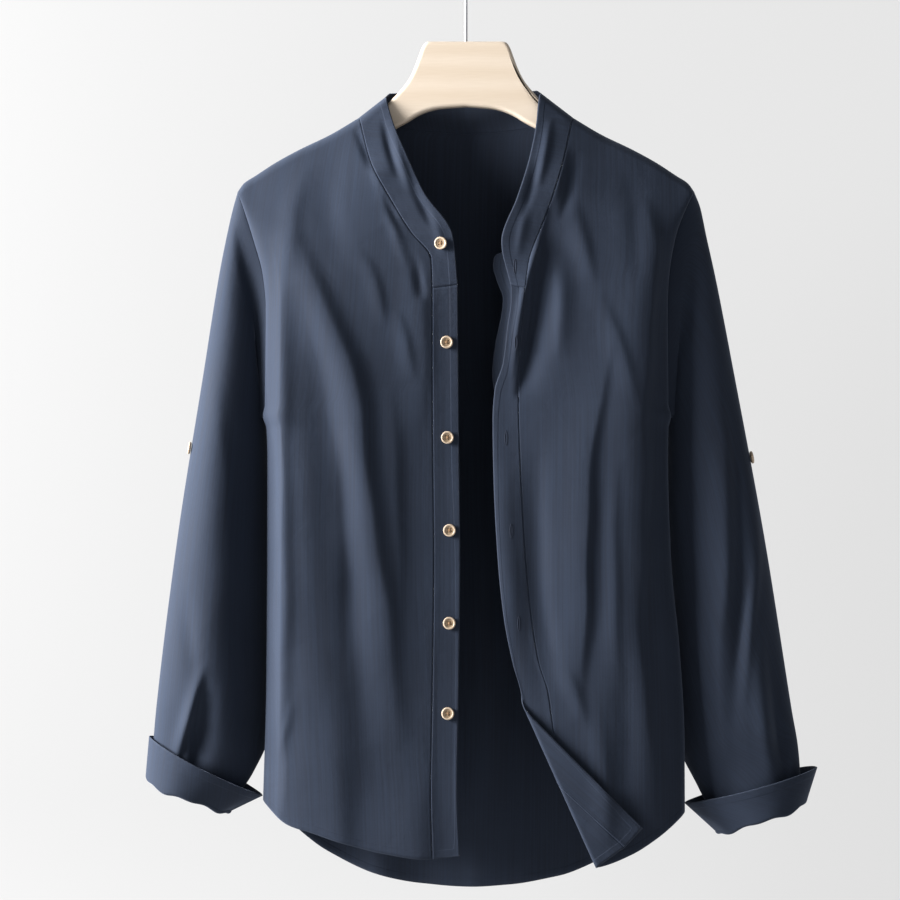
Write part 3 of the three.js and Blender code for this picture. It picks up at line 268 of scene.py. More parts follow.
def laid(x, drop):
    # the right front's flat cloth, which past the fold line rolls over and comes back, a little lifted, over
    # the front: it moves square to the line, by the roll's sine less its flat part and its way past the line
    x, drop = np.broadcast_arrays(x, drop)
    (topX, topDrop), (footX, footDrop) = turnBack["top"], turnBack["foot"]
    runX, runDrop = footX - topX, footDrop - topDrop
    length, radius = math.hypot(runX, runDrop), turnBack["radius"]
    past = ((drop - topDrop) * runX - (x - topX) * runDrop) / length
    past = np.where(drop < topDrop, 0, np.maximum(past, 0))
    angle = np.minimum(past / radius, math.pi)
    flat = np.maximum(past - math.pi * radius, 0)
    moved = radius * np.sin(angle) - flat - past
    place = onFront(x - moved * runDrop / length, drop + moved * runX / length)
    place[..., 1] -= radius * (1 - np.cos(angle)) + turnBack["lift"] * flat
    return place


def bunched(even):
    # even shares mixed with a quarter sine, which draws them towards 1
    return np.where(even >= 1, 1, mix(even, np.sin(math.pi / 2 * even), body["bunching"]))


def hemShare(row):
    # how far a row is on its way from the underarm to the hem
    first, last = body["underarmRow"], body["lastRow"]
    return np.clip((row - first) / (last - first), 0, 1)


def rowEnds(half, row):
    # where a row of the front meets the opening (drop, x) and the armhole or side seam (drop, x)
    upper = np.minimum(row, body["underarmRow"])
    opening, side = rowOpening(upper), rowSide(upper)
    if half["sign"] < 0:
        opening = mix(opening, half["hemAt"](half["edge"][-1][2]), hemShare(row))
        side = mix(side, half["sideFoot"], hemShare(row))
        openingX = -np.where(row <= body["collarRow"], half["neckAt"](opening), half["seamAt"](opening))
        return opening, openingX, side, -half["sideAt"](side)
    turnRow, (apexX, apexDrop), (footX, footDrop) = turnBack["row"], turnBack["apex"], turnBack["foot"]
    share = np.clip((row - body["underarmRow"]) / (turnRow - body["underarmRow"]), 0, 1)
    opening, side = mix(opening, apexDrop, share), mix(side, turnBack["sideAtTurn"], share)
    openingX = np.where(row <= body["collarRow"], half["neckAt"](opening), half["seamAt"](opening))
    share, turned = turnedShare(np.maximum(row, turnRow)), row >= turnRow
    opening = np.where(turned, mix(apexDrop, footDrop, share), opening)
    openingX = np.where(turned, mix(apexX, footX, share), openingX)
    side = np.where(turned, mix(turnBack["sideAtTurn"], half["sideFoot"], share), side)
    return opening, openingX, side, half["sideAt"](side)


def frontPlaces(half, row, even):
    # a front without its placket: straight rows between the opening and the side, bowed near shoulder and hem
    opening, openingX, side, sideX = rowEnds(half, row)
    footOpening, footOpeningX, footSide, footSideX = rowEnds(half, np.array(float(body["lastRow"])))
    share = bunched(even)
    first, last = body["shoulder"][0], body["shoulder"][-1]
    nearTop = np.clip(1 - (opening - first[1]) / body["shoulderReach"], 0, 1) ** 2
    topBow = shoulderLine(mix(first[0], last[0], share)) - mix(first[1], last[1], share)
    hemBow = half["hemAt"](np.abs(mix(footOpeningX, footSideX, share))) - mix(footOpening, footSide, share)
    inside = (share > 0) & (share < 1)
    bow = np.where(inside, topBow * nearTop + hemBow * hemShare(row) ** 2, 0)
    return mix(openingX, sideX, share), mix(opening, side, share) + bow


def backPlaces(row, even):
    # the back: columns from the right side (even 1) to the left side (even -1), under both shoulder seams
    def sideEnds(row):
        return [np.where(even < 0, a, b) for a, b in zip(rowEnds(leftHalf, row), rowEnds(rightHalf, row))]

    ends, feet = sideEnds(row), sideEnds(np.array(float(body["lastRow"])))
    first, last = body["shoulder"][0], body["shoulder"][-1]
    reach, neckShare = np.abs(even), backPanel["neckShare"]
    outer = bunched(np.clip((reach - neckShare) / (1 - neckShare), 0, 1))
    inner = first[0] * np.sin(math.pi / 2 * np.clip(reach / neckShare, 0, 1))
    across = np.where(reach < neckShare, inner, mix(first[0], last[0], outer))
    topDrop = np.where(reach < neckShare, napeAt(across), shoulderLine(across))
    spread = bunched(reach)
    x = mix(across / last[0] * ends[3], spread * ends[3], np.minimum(row / body["underarmRow"], 1))
    down = (ends[2] - last[1]) / (feet[2] - last[1])
    drop = np.where(reach >= 1, ends[2], mix(topDrop, backHemAt(spread * feet[3]), down))
    return np.where(reach >= 1, ends[3], x), drop


# ---- sleeves: rings from the armhole down
# a ring's number, then outer x and drop, inner x and drop, inner y, stand to the front, stand to the back;
# a lip has no number
leftSleeve = {
    "half": leftHalf,
    "fuller": (0.22, 0.28),
    "rings": [
        (0, -214, 240.5, -190.2, 452, 0, 13, 28), (1, -218.5, 256, -200, 453.5, 11, 13, 28),
        (2, -224, 280, -193, 466, 13, 17, 31), (3, -231.5, 318, -185, 485, 22, 24, 34),
        (5, -246.5, 412, -179, 540, 28, 31, 36), (8, -270, 560, -179, 640, 28, 34, 37),
        (11, -288.5, 705, -186, 750, 20, 30, 33), (12, -292.5, 745, -201, 787, 8, 23, 28),
        (13, -295.5, 791, -226, 822, 3, 25, 28)],
    "lip": (-297.5, 752, -191.5, 808, 3, 31, 33),
    "front": [
        ([(-236, 330), (-243, 450), (-252, 610), (-247, 740)], 15, 18, 1.6, 0.5),
        ([(-233, 400), (-229, 470), (-221, 640), (-213, 860)], 30, 11, 8.5, 0.6),
        ([(-243, 680), (-258, 733), (-276, 790)], 7, 3.2, 7.5, 0.6),
        ([(-240, 690), (-250, 740), (-258, 806)], 4, 12, -8.5, 0.62),
        ([(-262, 610), (-259, 660), (-253, 706)], 9, 8, -2.2, 0.5),
    ],
    "back": [
        ([(-226, 340), (-236, 520), (-246, 720)], 14, 16, 4, 0.5),
        ([(-206, 430), (-212, 600), (-222, 780)], 12, 10, -3.4, 0.5),
        ([(-262, 600), (-266, 700), (-276, 790)], 7, 10, 3.4, 0.6),
        ([(-196, 520), (-204, 640), (-214, 760)], 9, 7, 2.4, 0.5),
    ],
}
rightSleeve = {
    "half": rightHalf,
    "fuller": (0, 0.28),
    "rings": [
        (0, 214, 240.5, 192, 452, 0, 13, 28), (1, 219.5, 254, 200, 453.5, 2, 13, 28),
        (2, 226, 284, 194, 466, 13, 17, 31), (3, 234, 320, 187, 485, 22, 24, 34),
        (5, 252, 413, 183, 540, 28, 31, 36), (8, 281, 570, 190, 655, 28, 34, 37),
        (11, 306, 728, 202, 762, 20, 30, 33), (12, 312, 764, 219, 800, 8, 23, 28),
        (13, 315.5, 812, 240, 841, 3, 25, 28)],
    "lip": (330, 781, 206, 815, 3, 30, 33),
    "front": [
        ([(250, 390), (266, 480), (273, 570), (266, 645), (257, 730)], 7, 4, 3.6, 0.5),
        ([(240, 400), (252, 500), (256, 600), (250, 700)], 6, 7, -3.6, 0.5),
        ([(238, 470), (240, 600), (235, 700), (240, 800)], 22, 9, 4.6, 0.55),
        ([(281, 632), (287, 700), (294, 756), (302, 820)], 5, 9, -9, 0.66),
        ([(270, 660), (278, 730), (284, 800)], 9, 6, 3, 0.6),
        ([(254, 560), (254, 660), (250, 740)], 6, 7, -2.6, 0.5),
        ([(224, 500), (222, 640), (226, 770)], 9, 7, 2, 0.5),
    ],
    "back": [
        ([(226, 350), (240, 520), (252, 720)], 16, 14, 4, 0.5),
        ([(208, 430), (218, 600), (230, 780)], 10, 12, -3.4, 0.5),
        ([(270, 600), (280, 700), (292, 800)], 9, 7, 3.4, 0.6),
        ([(200, 520), (212, 640), (222, 760)], 7, 9, 2.2, 0.5),
    ],
}
sleeveForm = {
    "rings": 13,
    "bluntness": (1.45, 0.9),  # of the front and the back
    "fadeAside": (4, 1.2), "fadeDepth": (1.6, 2),  # rings that keep the armhole's form, and its fading's power
    "creaseFrom": (3, 2), "creaseTo": 1.5,  # the ring and rings over which creases grow and end
    "waves": ((1.4, 4, 0.8), (0.9, 9, 2)),  # height, number round the end and phase
}
cuffForm = {"radius": 2.6}


def ovalRing(sizes, angle, fuller):
    # an oval between an outer point (angle 0) and an inner one (angle pi), its front and back fuller towards
    # the outside
    outX, outDrop, inX, inDrop, inY, front, back = sizes
    reach = (1 + np.cos(angle)) / 2
    share, bluntness = (np.where(np.sin(angle) > 0, *pair) for pair in (fuller, sleeveForm["bluntness"]))
    stand = np.abs(np.sin(angle)) ** bluntness * (1 + share * np.cos(angle))
    depth = np.where(np.sin(angle) > 0, -front, back) * stand
    return np.stack([mix(inX, outX, reach), mix(inY, 0, reach) + depth, -mix(inDrop, outDrop, reach)], -1)


def armholeRing(half, angle):
    # the armhole, by angle: down its front from the shoulder to the underarm at pi, and up its back
    row = body["underarmRow"] * (1 - np.abs(1 - angle / math.pi))
    drop = rowSide(row)
    x = half["sign"] * half["sideAt"](drop)
    return np.where((angle <= math.pi)[..., None], onFront(x, drop), onBack(x, drop))


def sleevePlaces(sleeve, ring, angle):
    # rings of ovals that take up the armhole's own shape near the top, are creased in the middle and wavy at
    # the end
    ring, angle = np.broadcast_arrays(ring, angle)
    sizes = [reader(sleeve["rings"], 0, column)(ring) for column in range(1, 8)]
    place = ovalRing(sizes, angle, sleeve["fuller"])
    away = armholeRing(sleeve["half"], angle) - ovalRing(sleeve["rings"][0][1:], angle, sleeve["fuller"])
    aside, inward = (np.maximum(1 - ring / sleeveForm[key][0], 0) ** sleeveForm[key][1]
                     for key in ("fadeAside", "fadeDepth"))
    place = place + away * np.stack([aside, inward, aside], -1)
    (start, reach), last = sleeveForm["creaseFrom"], sleeveForm["rings"]
    free = np.clip((ring - start) / reach, 0, 1) * np.clip((last - ring) / sleeveForm["creaseTo"], 0, 1)
    front, back = (creaseHeight(sleeve[face], place[..., 0], -place[..., 2]) for face in ("front", "back"))
    place[..., 1] += np.where(angle < math.pi, -front, back) * free * np.abs(np.sin(angle))
    waves = sum(height * np.sin(number * angle + phase) for height, number, phase in sleeveForm["waves"])
    place[..., 2] += waves * np.clip(ring - last + 1, 0, 1)
    return place


def cuffPlaces(sleeve, step, angle):
    # step 0 to 1 rolls under the sleeve's end, step 1 to 2 rises outside it to the lip
    step, angle = np.broadcast_arrays(step, angle)
    end = sleevePlaces(sleeve, np.full(angle.shape, float(sleeveForm["rings"])), angle)
    centre = end.reshape(-1, 3).mean(0)
    away = (end - centre) * [1, 1, 0]
    away /= np.linalg.norm(away, axis=-1, keepdims=True)
    turn = math.pi * np.clip(step, 0, 1)[..., None]
    radius = cuffForm["radius"]
    rolled = end + away * radius * (1 - np.cos(turn)) - np.array([0, 0, 1]) * radius * np.sin(turn)
    return mix(rolled, ovalRing(sleeve["lip"], angle, sleeve["fuller"]), np.clip(step - 1, 0, 1)[..., None])


# ---- collar band and plackets
collarBand = {
    # drop of the neck seam beside it, then x, drop and y of the free edge
    "left": [(171, -75.5, 151.5, 2), (172.5, -75, 153, -4.5), (176, -74, 156, -9), (183, -72.3, 162.5, -11),
             (197, -67.5, 178.5, -16.5), (222, -55.5, 207.5, -25.5), (255, -39, 244, -34),
             (294, -12.6, 284, -39)],
    "right": [(171, 70, 147.5, 2), (172.5, 69.5, 149, -5), (176, 68.5, 152, -9.5), (183, 67.4, 159, -11.8),
              (197, 65.5, 177.5, -16.5), (222, 59, 210, -25.5), (255, 47.5, 247.5, -35.5),
              (294, 32.5, 290.5, -39.8)],
    "nape": [(-75.5, 151.5, 2), (-71, 146, 14), (-50, 144, 25), (0, 144, 35), (47, 143, 25),
             (66, 143.5, 14), (70, 147.5, 2)],  # x, drop, y
    "stations": (8, 18, 26),  # the last of the left front, of the nape and of the right front
    "endRise": 3, "riseFade": 29,
}
underLayer = {
    "edge": [(299, 33), (300.5, 29), (304, 26), (311, 25.2), (326, 29), (342, 34.5), (357, 33), (384, 27.5),
             (412, 24.5), (432, 27)],
    "inset": 5, "gape": 18, "behind": 1.8,
}


collarCreases = [
    ([(-76, 172), (-71, 200), (-62, 232)], 4, 6, -3.4, 0.5),
    ([(-68, 186), (-60, 216), (-49, 246)], 5, 3, 2.8, 0.5),
    ([(-52, 230), (-41, 254), (-30, 278)], 4, 5, -2.6, 0.5),
    ([(-31, 262), (-25, 282), (-19, 306)], 5, 4, 1.3, 0.5),
    ([(78, 172), (73, 206), (66, 240)], 5, 4, 2.6, 0.5),
    ([(67, 210), (60, 240), (51, 272)], 5, 4, -2.4, 0.5),
    ([(56, 250), (52, 276), (46, 306)], 4, 5, 1.4, 0.5),
]


def bandEnd(half, share):
    # the collar band's end at the top of a placket, from the free edge (0) to the neck seam (1)
    seamDrop = body["openingRows"][body["collarRow"]]
    edgeDrop = seamDrop - collarBand["endRise"]
    x = half["sign"] * mix(half["edgeAt"](edgeDrop), half["seamAt"](seamDrop), share)
    return onFront(x, mix(edgeDrop, seamDrop, share))


def collarPlaces(station, share):
    # its stations run up the left front, round the nape and down the right front; the band spans from its free
    # edge (share 0) to the neck seam (share 1)
    station, share = np.broadcast_arrays(station, share)
    neckEnd, (napeFrom, napeTo, _) = body["shoulder"][0][0], collarBand["stations"]
    seam, edge = np.zeros(station.shape + (3,)), np.zeros(station.shape + (3,))
    for half, rows, row, chosen in ((leftHalf, collarBand["left"], napeFrom - station, station <= napeFrom),
                                    (rightHalf, collarBand["right"], station - napeTo, station >= napeTo)):
        opening = rowOpening(np.clip(row, 0, body["collarRow"]))
        sidePlace = onFront(half["sign"] * half["neckAt"](opening), opening)
        end = bandEnd(half, 0.0)
        ends = rows + [(body["openingRows"][body["collarRow"]], end[0], -end[2], end[1])]
        freeX, freeDrop, freeY = (reader(ends, 0, value)(opening) for value in (1, 2, 3))
        free, chosen = np.stack([freeX, freeY, -freeDrop], -1), chosen[..., None]
        seam, edge = np.where(chosen, sidePlace, seam), np.where(chosen, free, edge)
    middle = ((station > napeFrom) & (station < napeTo))[..., None]
    x = -neckEnd * np.cos(math.pi * np.clip((station - napeFrom) / (napeTo - napeFrom), 0, 1))
    rows = collarBand["nape"]
    edgeX = mix(rows[0][0], rows[-1][0], (1 + x / neckEnd) / 2)
    top = np.stack([edgeX, reader(rows, 0, 2)(edgeX), -reader(rows, 0, 1)(edgeX)], -1)
    seam, edge = np.where(middle, onBack(x, napeAt(np.abs(x))), seam), np.where(middle, top, edge)
    place = mix(edge, seam, share[..., None])
    lift = creaseHeight(collarCreases, place[..., 0], -place[..., 2]) * np.sin(math.pi * share)
    place[..., 1] -= np.where(place[..., 1] < 0, lift, 0)
    return place


def leftPlacketPlaces(row, share):
    # from the placket seam (share 0) to the front edge (share 1); its first row is the collar band's end
    row, share = np.broadcast_arrays(row, share)
    opening = rowEnds(leftHalf, row)[0]
    start = body["openingRows"][body["collarRow"]]
    edge = mix(opening, leftHalf["hemAt"](leftHalf["edgeAt"](opening)), hemShare(row) ** 2)
    edge = edge - collarBand["endRise"] * np.clip(1 - (opening - start) / collarBand["riseFade"], 0, 1)
    x = -mix(leftHalf["seamAt"](opening), leftHalf["edgeAt"](edge), share)
    return onFront(x, mix(opening, edge, share))


def rightPlacketPlaces(row, share):
    # the cut, from the front edge (share 1) to the placket seam (share 0); from the fold's row on it follows
    # the corner that is turned back
    row, share = np.broadcast_arrays(row, share)
    opening = rowEnds(rightHalf, np.minimum(row, turnBack["row"]))[0]
    start = body["openingRows"][body["collarRow"]]
    (topX, topDrop), (apexX, apexDrop) = turnBack["top"], turnBack["apex"]
    edge = mix(start - collarBand["endRise"], topDrop, (opening - start) / (apexDrop - start))
    x = mix(rightHalf["seamAt"](opening), rightHalf["edgeAt"](edge), share)
    drop = mix(opening, edge, share)
    down, turned = turnedShare(np.maximum(row, turnBack["row"])), row >= turnBack["row"]
    (edgeX, edgeDrop), (seamX, seamDrop) = turnBack["cornerEdge"], turnBack["cornerSeam"]
    x = np.where(turned, mix(mix(apexX, seamX, down), mix(topX, edgeX, down), share), x)
    drop = np.where(turned, mix(mix(apexDrop, seamDrop, down), mix(topDrop, edgeDrop, down), share), drop)
    return x, drop


def underLayerPlaces(row, share):
    # the right placket's under layer, from its free edge (share 0), where it stands further back by the square
    # root of the share that is left, to the seam side
    row, share = np.broadcast_arrays(row, share)
    rows = underLayer["edge"]
    drop = mix(rows[0][0], rows[-1][0], row)
    x = mix(reader(rows)(drop), rightHalf["seamAt"](drop) - underLayer["inset"], share)
    place = onFront(x, drop)
    place[..., 1] += underLayer["behind"] + underLayer["gape"] * (1 - share) ** 0.5
    return place


def turnedPlaces(row, share):
    # the cut of the part of the right front that is turned back, from the placket seam (share 1) to the fold
    # line (share 0)
    row, share = np.broadcast_arrays(row, share)
    down = turnedShare(turnBack["row"] + row)
    (apexX, apexDrop), (footX, footDrop) = turnBack["apex"], turnBack["foot"]
    seamX, seamDrop = turnBack["cornerSeam"]
    part = share ** turnBack["bunching"]
    x = mix(mix(apexX, footX, down), mix(apexX, seamX, down), part)
    drop = mix(mix(apexDrop, footDrop, down), mix(apexDrop, seamDrop, down), part)
    return x, drop


# ---- meshes
def placed(name, data):
    made = bpy.data.objects.new(name, data)
    bpy.context.scene.collection.objects.link(made)
    return made


def makeMesh(name, places, uv=None, closed=False, values=None, wall=0):
    # a grid of places (rows, columns, 3) in millimetres becomes a mesh of four-sided faces, seen from the side
    # on which rows run down and columns to the right; values are further numbers kept at every point
    rows, columns = places.shape[:2]
    number = np.arange(rows * columns).reshape(rows, columns)
    right = np.roll(number, -1, 1) if closed else number[:, 1:]
    left = number if closed else number[:, :-1]
    quads = np.stack([left[:-1], left[1:], right[1:], right[:-1]], -1).reshape(-1, 4)
    mesh = bpy.data.meshes.new(name)
    mesh.vertices.add(rows * columns)
    mesh.vertices.foreach_set("co", (places / 1000).astype(np.float32).ravel())
    mesh.loops.add(quads.size)
    mesh.loops.foreach_set("vertex_index", quads.ravel().astype(np.int32))
    mesh.polygons.add(len(quads))
    mesh.polygons.foreach_set("loop_start", np.arange(0, quads.size, 4, dtype=np.int32))
    mesh.polygons.foreach_set("use_smooth", np.ones(len(quads), bool))
    mesh.update(calc_edges=True)
    if uv is not None:
        layer = mesh.uv_layers.new(name="cloth")
        layer.data.foreach_set("uv", uv.reshape(-1, 2)[quads.ravel()].astype(np.float32).ravel())
    for key, value in (values or {}).items():
        attribute = mesh.attributes.new(key, "FLOAT", "POINT")
        attribute.data.foreach_set("value", value.astype(np.float32).ravel())
    piece = placed(name, mesh)
    if wall:
        solidify = piece.modifiers.new("wall", "SOLIDIFY")
        solidify.thickness, solidify.offset = wall / 1000, 0
    return piece


def dress(piece, finish, nodes=()):
    piece.data.materials.append(finish)
    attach(piece, "root")
    if nodes:
        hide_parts(*nodes)


def lengths(places, parts=(0, 1, 2)):
    # running lengths down the columns and along the rows, in metres, of the chosen parts of each step
    chosen = places[..., list(parts)]
    down = np.linalg.norm(np.diff(chosen, axis=0), axis=-1)
    along = np.linalg.norm(np.diff(chosen, axis=1), axis=-1)
    v = np.concatenate([np.zeros((1, places.shape[1])), down.cumsum(0)]) / 1000
    u = np.concatenate([np.zeros((places.shape[0], 1)), along.cumsum(1)], 1) / 1000
    return u, v


def uprightThreads(places):
    # where each point lies in the cut when its threads hang straight down: sideways steps count towards u,
    # downward steps towards v, and the steps in depth towards both
    u = lengths(places, (0, 1))[0]
    v = lengths(places, (1, 2))[1]
    sign = np.sign(places[0, -1, 0] - places[0, 0, 0])
    return np.stack([places[:, :1, 0] / 1000 + sign * u, places[:1, :, 2] / 1000 - v], -1)


cloth = {"single": 0.8, "doubled": 1.1, "farthest": 0.1}


def clothPiece(name, places, nodes, seams="", hems="", wall=cloth["single"], uv=None):
    # seams and hems name the grid's sides (T, B, L, R); every point keeps its distance to the nearest of each
    u, v = lengths(places)
    away = {"T": v, "B": v[-1:] - v, "L": u, "R": u[:, -1:] - u}
    far = np.full(u.shape, cloth["farthest"])
    values = {key: np.minimum.reduce([far] + [away[side] for side in sides])
              for key, sides in (("toSeam", seams), ("toHem", hems))}
    piece = makeMesh(name, places, np.stack([u, -v], -1) if uv is None else uv, values=values, wall=wall)
    dress(piece, linen, nodes)


def line(a, b, n):
    return np.linspace(a, b, n)


# ---- materials
def nodeGroup(name, inputs, outputs):
    group = bpy.data.node_groups.new(name, "ShaderNodeTree")
    for label, kind, value in inputs:
        socket = group.interface.new_socket(label, in_out="INPUT", socket_type=kind)
        if value is not None:
            socket.default_value = value
    for label, kind in outputs:
        group.interface.new_socket(label, in_out="OUTPUT", socket_type=kind)
    return group, group.nodes.new("NodeGroupInput"), group.nodes.new("NodeGroupOutput")


def adder(tree):
    # a short way to place a node: its kind, its settings, and values or links for its inputs
    def add(kind, settings=None, **inputs):
        node = tree.nodes.new("ShaderNode" + kind)
        for key, value in (settings or {}).items():
            setattr(node, key, value)
        for key, value in inputs.items():
            place = int(key[1:]) if key[0] == "i" and key[1:].isdigit() else key.replace("_", " ")
            socket = node.inputs[place]
            if isinstance(value, bpy.types.NodeSocket):
                tree.links.new(value, socket)
            else:
                socket.default_value = value
        return node

    return add


def maths(add, operation, *values):
    # the result of one operation on up to three numbers or links
    inputs = {f"i{k}": value for k, value in enumerate(values)}
    return add("Math", {"operation": operation}, **inputs).outputs[0]


def blended(add, share, first, last):
    # a colour between two, by the share of the last
    return add("Mix", {"data_type": "RGBA"}, i0=share, i6=first, i7=last).outputs[2]


def noise(add, vector, scale, detail, **more):
    return add("TexNoise", Vector=vector, Scale=scale, Detail=detail, **more).outputs


def fading(add, distance, start, end, top):
    # a number that falls softly from its top to nothing between two distances
    return add("MapRange", {"interpolation_type": "SMOOTHSTEP"}, Value=distance, From_Min=start, From_Max=end,
               To_Min=top, To_Max=0.0).outputs[0]


def makeWeave():
    # plain weave of uneven threads: two crossing sets of bands, each thickened and thinned along its length
    group, inside, outside = nodeGroup(
        "plainWeave",
        [("Vector", "NodeSocketVector", None), ("Threads", "NodeSocketFloat", None),
         ("Slub", "NodeSocketFloat", 0.5)],
        [("Height", "NodeSocketFloat"), ("Streaks", "NodeSocketFloat")],
    )
    add, link = adder(group), group.links.new
    split = add("SeparateXYZ", i0=inside.outputs["Vector"])
    bands, streaks = [], []
    for axis, stretch, share in (("X", (560, 7, 1), 1.7), ("Y", (12, 620, 1), 0.3)):
        stretched = add("Mapping", Vector=inside.outputs["Vector"], Scale=stretch)
        slub = add("TexNoise", {"noise_dimensions": "2D"}, Vector=stretched.outputs[0], Scale=1.0, Detail=2.0)
        streaks.append(maths(add, "MULTIPLY", slub.outputs["Fac"], share))
        turns = maths(add, "MULTIPLY", split.outputs[axis], inside.outputs["Threads"])
        shifted = maths(add, "MULTIPLY_ADD", slub.outputs["Fac"], 1.5, turns)
        bands.append(maths(add, "SINE", maths(add, "MULTIPLY", shifted, math.tau)))
    both = maths(add, "ADD", *streaks)
    slubbed = maths(add, "MULTIPLY", both, inside.outputs["Slub"])
    link(maths(add, "MULTIPLY_ADD", maths(add, "MULTIPLY", *bands), 0.25, slubbed), outside.inputs["Height"])
    link(both, outside.inputs["Streaks"])
    return group


def makeGrain():
    # wood grain along X: long stretched noise through soft bands, with fine pores
    group, inside, outside = nodeGroup(
        "woodGrain",
        [("Vector", "NodeSocketVector", None), ("Light", "NodeSocketColor", None),
         ("Dark", "NodeSocketColor", None), ("Bands", "NodeSocketFloat", None),
         ("Stretch", "NodeSocketFloat", None)],
        [("Color", "NodeSocketColor"), ("Height", "NodeSocketFloat")],
    )
    add, link = adder(group), group.links.new
    split = add("SeparateXYZ", i0=inside.outputs["Vector"])
    slow = maths(add, "MULTIPLY", split.outputs["X"], inside.outputs["Stretch"])
    along = add("CombineXYZ", X=slow, Y=split.outputs["Y"], Z=split.outputs["Z"]).outputs[0]
    bend = noise(add, along, 22.0, 3.0)["Color"]
    moved = add("VectorMath", {"operation": "MULTIPLY_ADD"}, i0=bend, i1=(0.02, 0.02, 0.02), i2=along)
    rings = add("TexWave", {"wave_type": "BANDS", "bands_direction": "Z"}, Vector=moved.outputs[0],
                Scale=inside.outputs["Bands"], Distortion=2.5, Detail=2.0, Detail_Scale=1.5)
    pores = add("MapRange", Value=noise(add, along, 900.0, 2.0)["Fac"], From_Min=0.35, From_Max=0.7)
    pores = maths(add, "MULTIPLY", pores.outputs[0], 0.3)
    amount = maths(add, "MULTIPLY_ADD", rings.outputs["Fac"], 0.7, pores)
    link(blended(add, amount, inside.outputs["Light"], inside.outputs["Dark"]), outside.inputs["Color"])
    link(amount, outside.inputs["Height"])
    return group


def newMaterial(name, **shader):
    made = bpy.data.materials.new(name)
    made.use_nodes = True
    add = adder(made.node_tree)
    principled = made.node_tree.nodes["Principled BSDF"]
    for key, value in shader.items():
        principled.inputs[key.replace("_", " ")].default_value = value
    return made, add, principled, made.node_tree.links.new


def finishUp(material, colour, roughness, height, strength, distance):
    # links a colour, a roughness and a bump to a material's shader
    _, add, principled, link = material
    link(colour, principled.inputs["Base Color"])
    link(roughness.outputs[0], principled.inputs["Roughness"])
    bump = add("Bump", Height=height, Strength=strength, Distance=distance)
    link(bump.outputs[0], principled.inputs["Normal"])
    return bump


weave, grain = makeWeave(), makeGrain()
linenLook = {
    "dark": (0.009, 0.0135, 0.0255, 1), "light": (0.0165, 0.0245, 0.043, 1), "faded": (0.03, 0.038, 0.058, 1),
    "threads": 1500.0, "weaveDepth": 0.00006, "wrinkleDepth": 0.0012,
    "wornWidth": 0.0018, "puckerReach": 0.016, "hemStep": (0.0068, 0.0078),
}


def makeLinen():
    # streaks of slubs and soft patches between two blues, worn at the hems, over weave, wrinkles and puckers
    material = newMaterial("navyLinen", Sheen_Weight=0.2, Sheen_Roughness=0.4, Specular_IOR_Level=0.25)
    made, add, principled, link = material
    principled.inputs["Sheen Tint"].default_value = (0.52, 0.64, 0.9, 1)
    woven = add("Group", {"node_tree": weave})
    link(add("UVMap", {"uv_map": "cloth"}).outputs[0], woven.inputs["Vector"])
    woven.inputs["Threads"].default_value = linenLook["threads"]
    spots = add("TexCoord").outputs["Object"]
    patches = maths(add, "MULTIPLY", noise(add, spots, 14.0, 3.0)["Fac"], 0.5)
    streak = add("MapRange", Value=woven.outputs["Streaks"], From_Min=0.75, From_Max=1.25)
    blend = maths(add, "MULTIPLY_ADD", streak.outputs[0], 0.5, patches)
    base = blended(add, blend, linenLook["dark"], linenLook["light"])
    seam, hem = (add("Attribute", {"attribute_name": key}).outputs["Fac"] for key in ("toSeam", "toHem"))
    worn = fading(add, hem, 0.0, linenLook["wornWidth"], 0.5)
    # puckers fade away from the seams, and the doubled cloth of a hem ends in a low step
    nearSeam = fading(add, maths(add, "MINIMUM", seam, hem), 0.0, linenLook["puckerReach"], 1.0)
    pucker = maths(add, "MULTIPLY", noise(add, spots, 120.0, 2.0)["Fac"], nearSeam)
    wrinkles = noise(add, spots, 26.0, 4.0, Distortion=0.6)["Fac"]
    relief = maths(add, "MULTIPLY_ADD", pucker, 0.7, wrinkles)
    formed = maths(add, "ADD", relief, fading(add, hem, *linenLook["hemStep"], 0.35))
    coarse = add("Bump", Height=formed, Strength=0.55, Distance=linenLook["wrinkleDepth"])
    fineBump = finishUp(material, blended(add, worn, base, linenLook["faded"]),
                        add("MapRange", Value=blend, To_Min=0.8, To_Max=0.94),
                        woven.outputs["Height"], 0.8, linenLook["weaveDepth"])
    link(coarse.outputs[0], fineBump.inputs["Normal"])
    return made


def makeWood(name, look, roughness, coat, scale, dish=None):
    # grain between two colours, under a thin coat; a sunk middle is darker than its rim
    material = newMaterial(name, Coat_Weight=coat, Coat_Roughness=0.25)
    made, add, _, link = material
    node = add("Group", {"node_tree": grain})
    link(add("TexCoord").outputs["Object"], node.inputs["Vector"])
    for key, value in look.items():
        node.inputs[key].default_value = value
    colour, height = node.outputs["Color"], node.outputs["Height"]
    if dish:
        depth = add("Attribute", {"attribute_name": "dish"}).outputs["Fac"]
        colour = blended(add, maths(add, "MULTIPLY", depth, 0.75), colour, dish)
    finishUp(material, colour, add("MapRange", Value=height, To_Min=roughness, To_Max=roughness + 0.15),
             height, 0.25, scale)
    return made


def makeSteel():
    # drawn wire: fine scratches that change its colour and gloss
    material = newMaterial("platedWire", Metallic=0.55)
    made, add, _, _ = material
    scratches = noise(add, add("TexCoord").outputs["Object"], 700.0, 3.0)["Fac"]
    finishUp(material, blended(add, scratches, (0.42, 0.43, 0.45, 1), (0.6, 0.61, 0.63, 1)),
             add("MapRange", Value=scratches, From_Min=0.3, From_Max=0.75, To_Min=0.26, To_Max=0.48),
             scratches, 0.1, 0.0001)
    return made


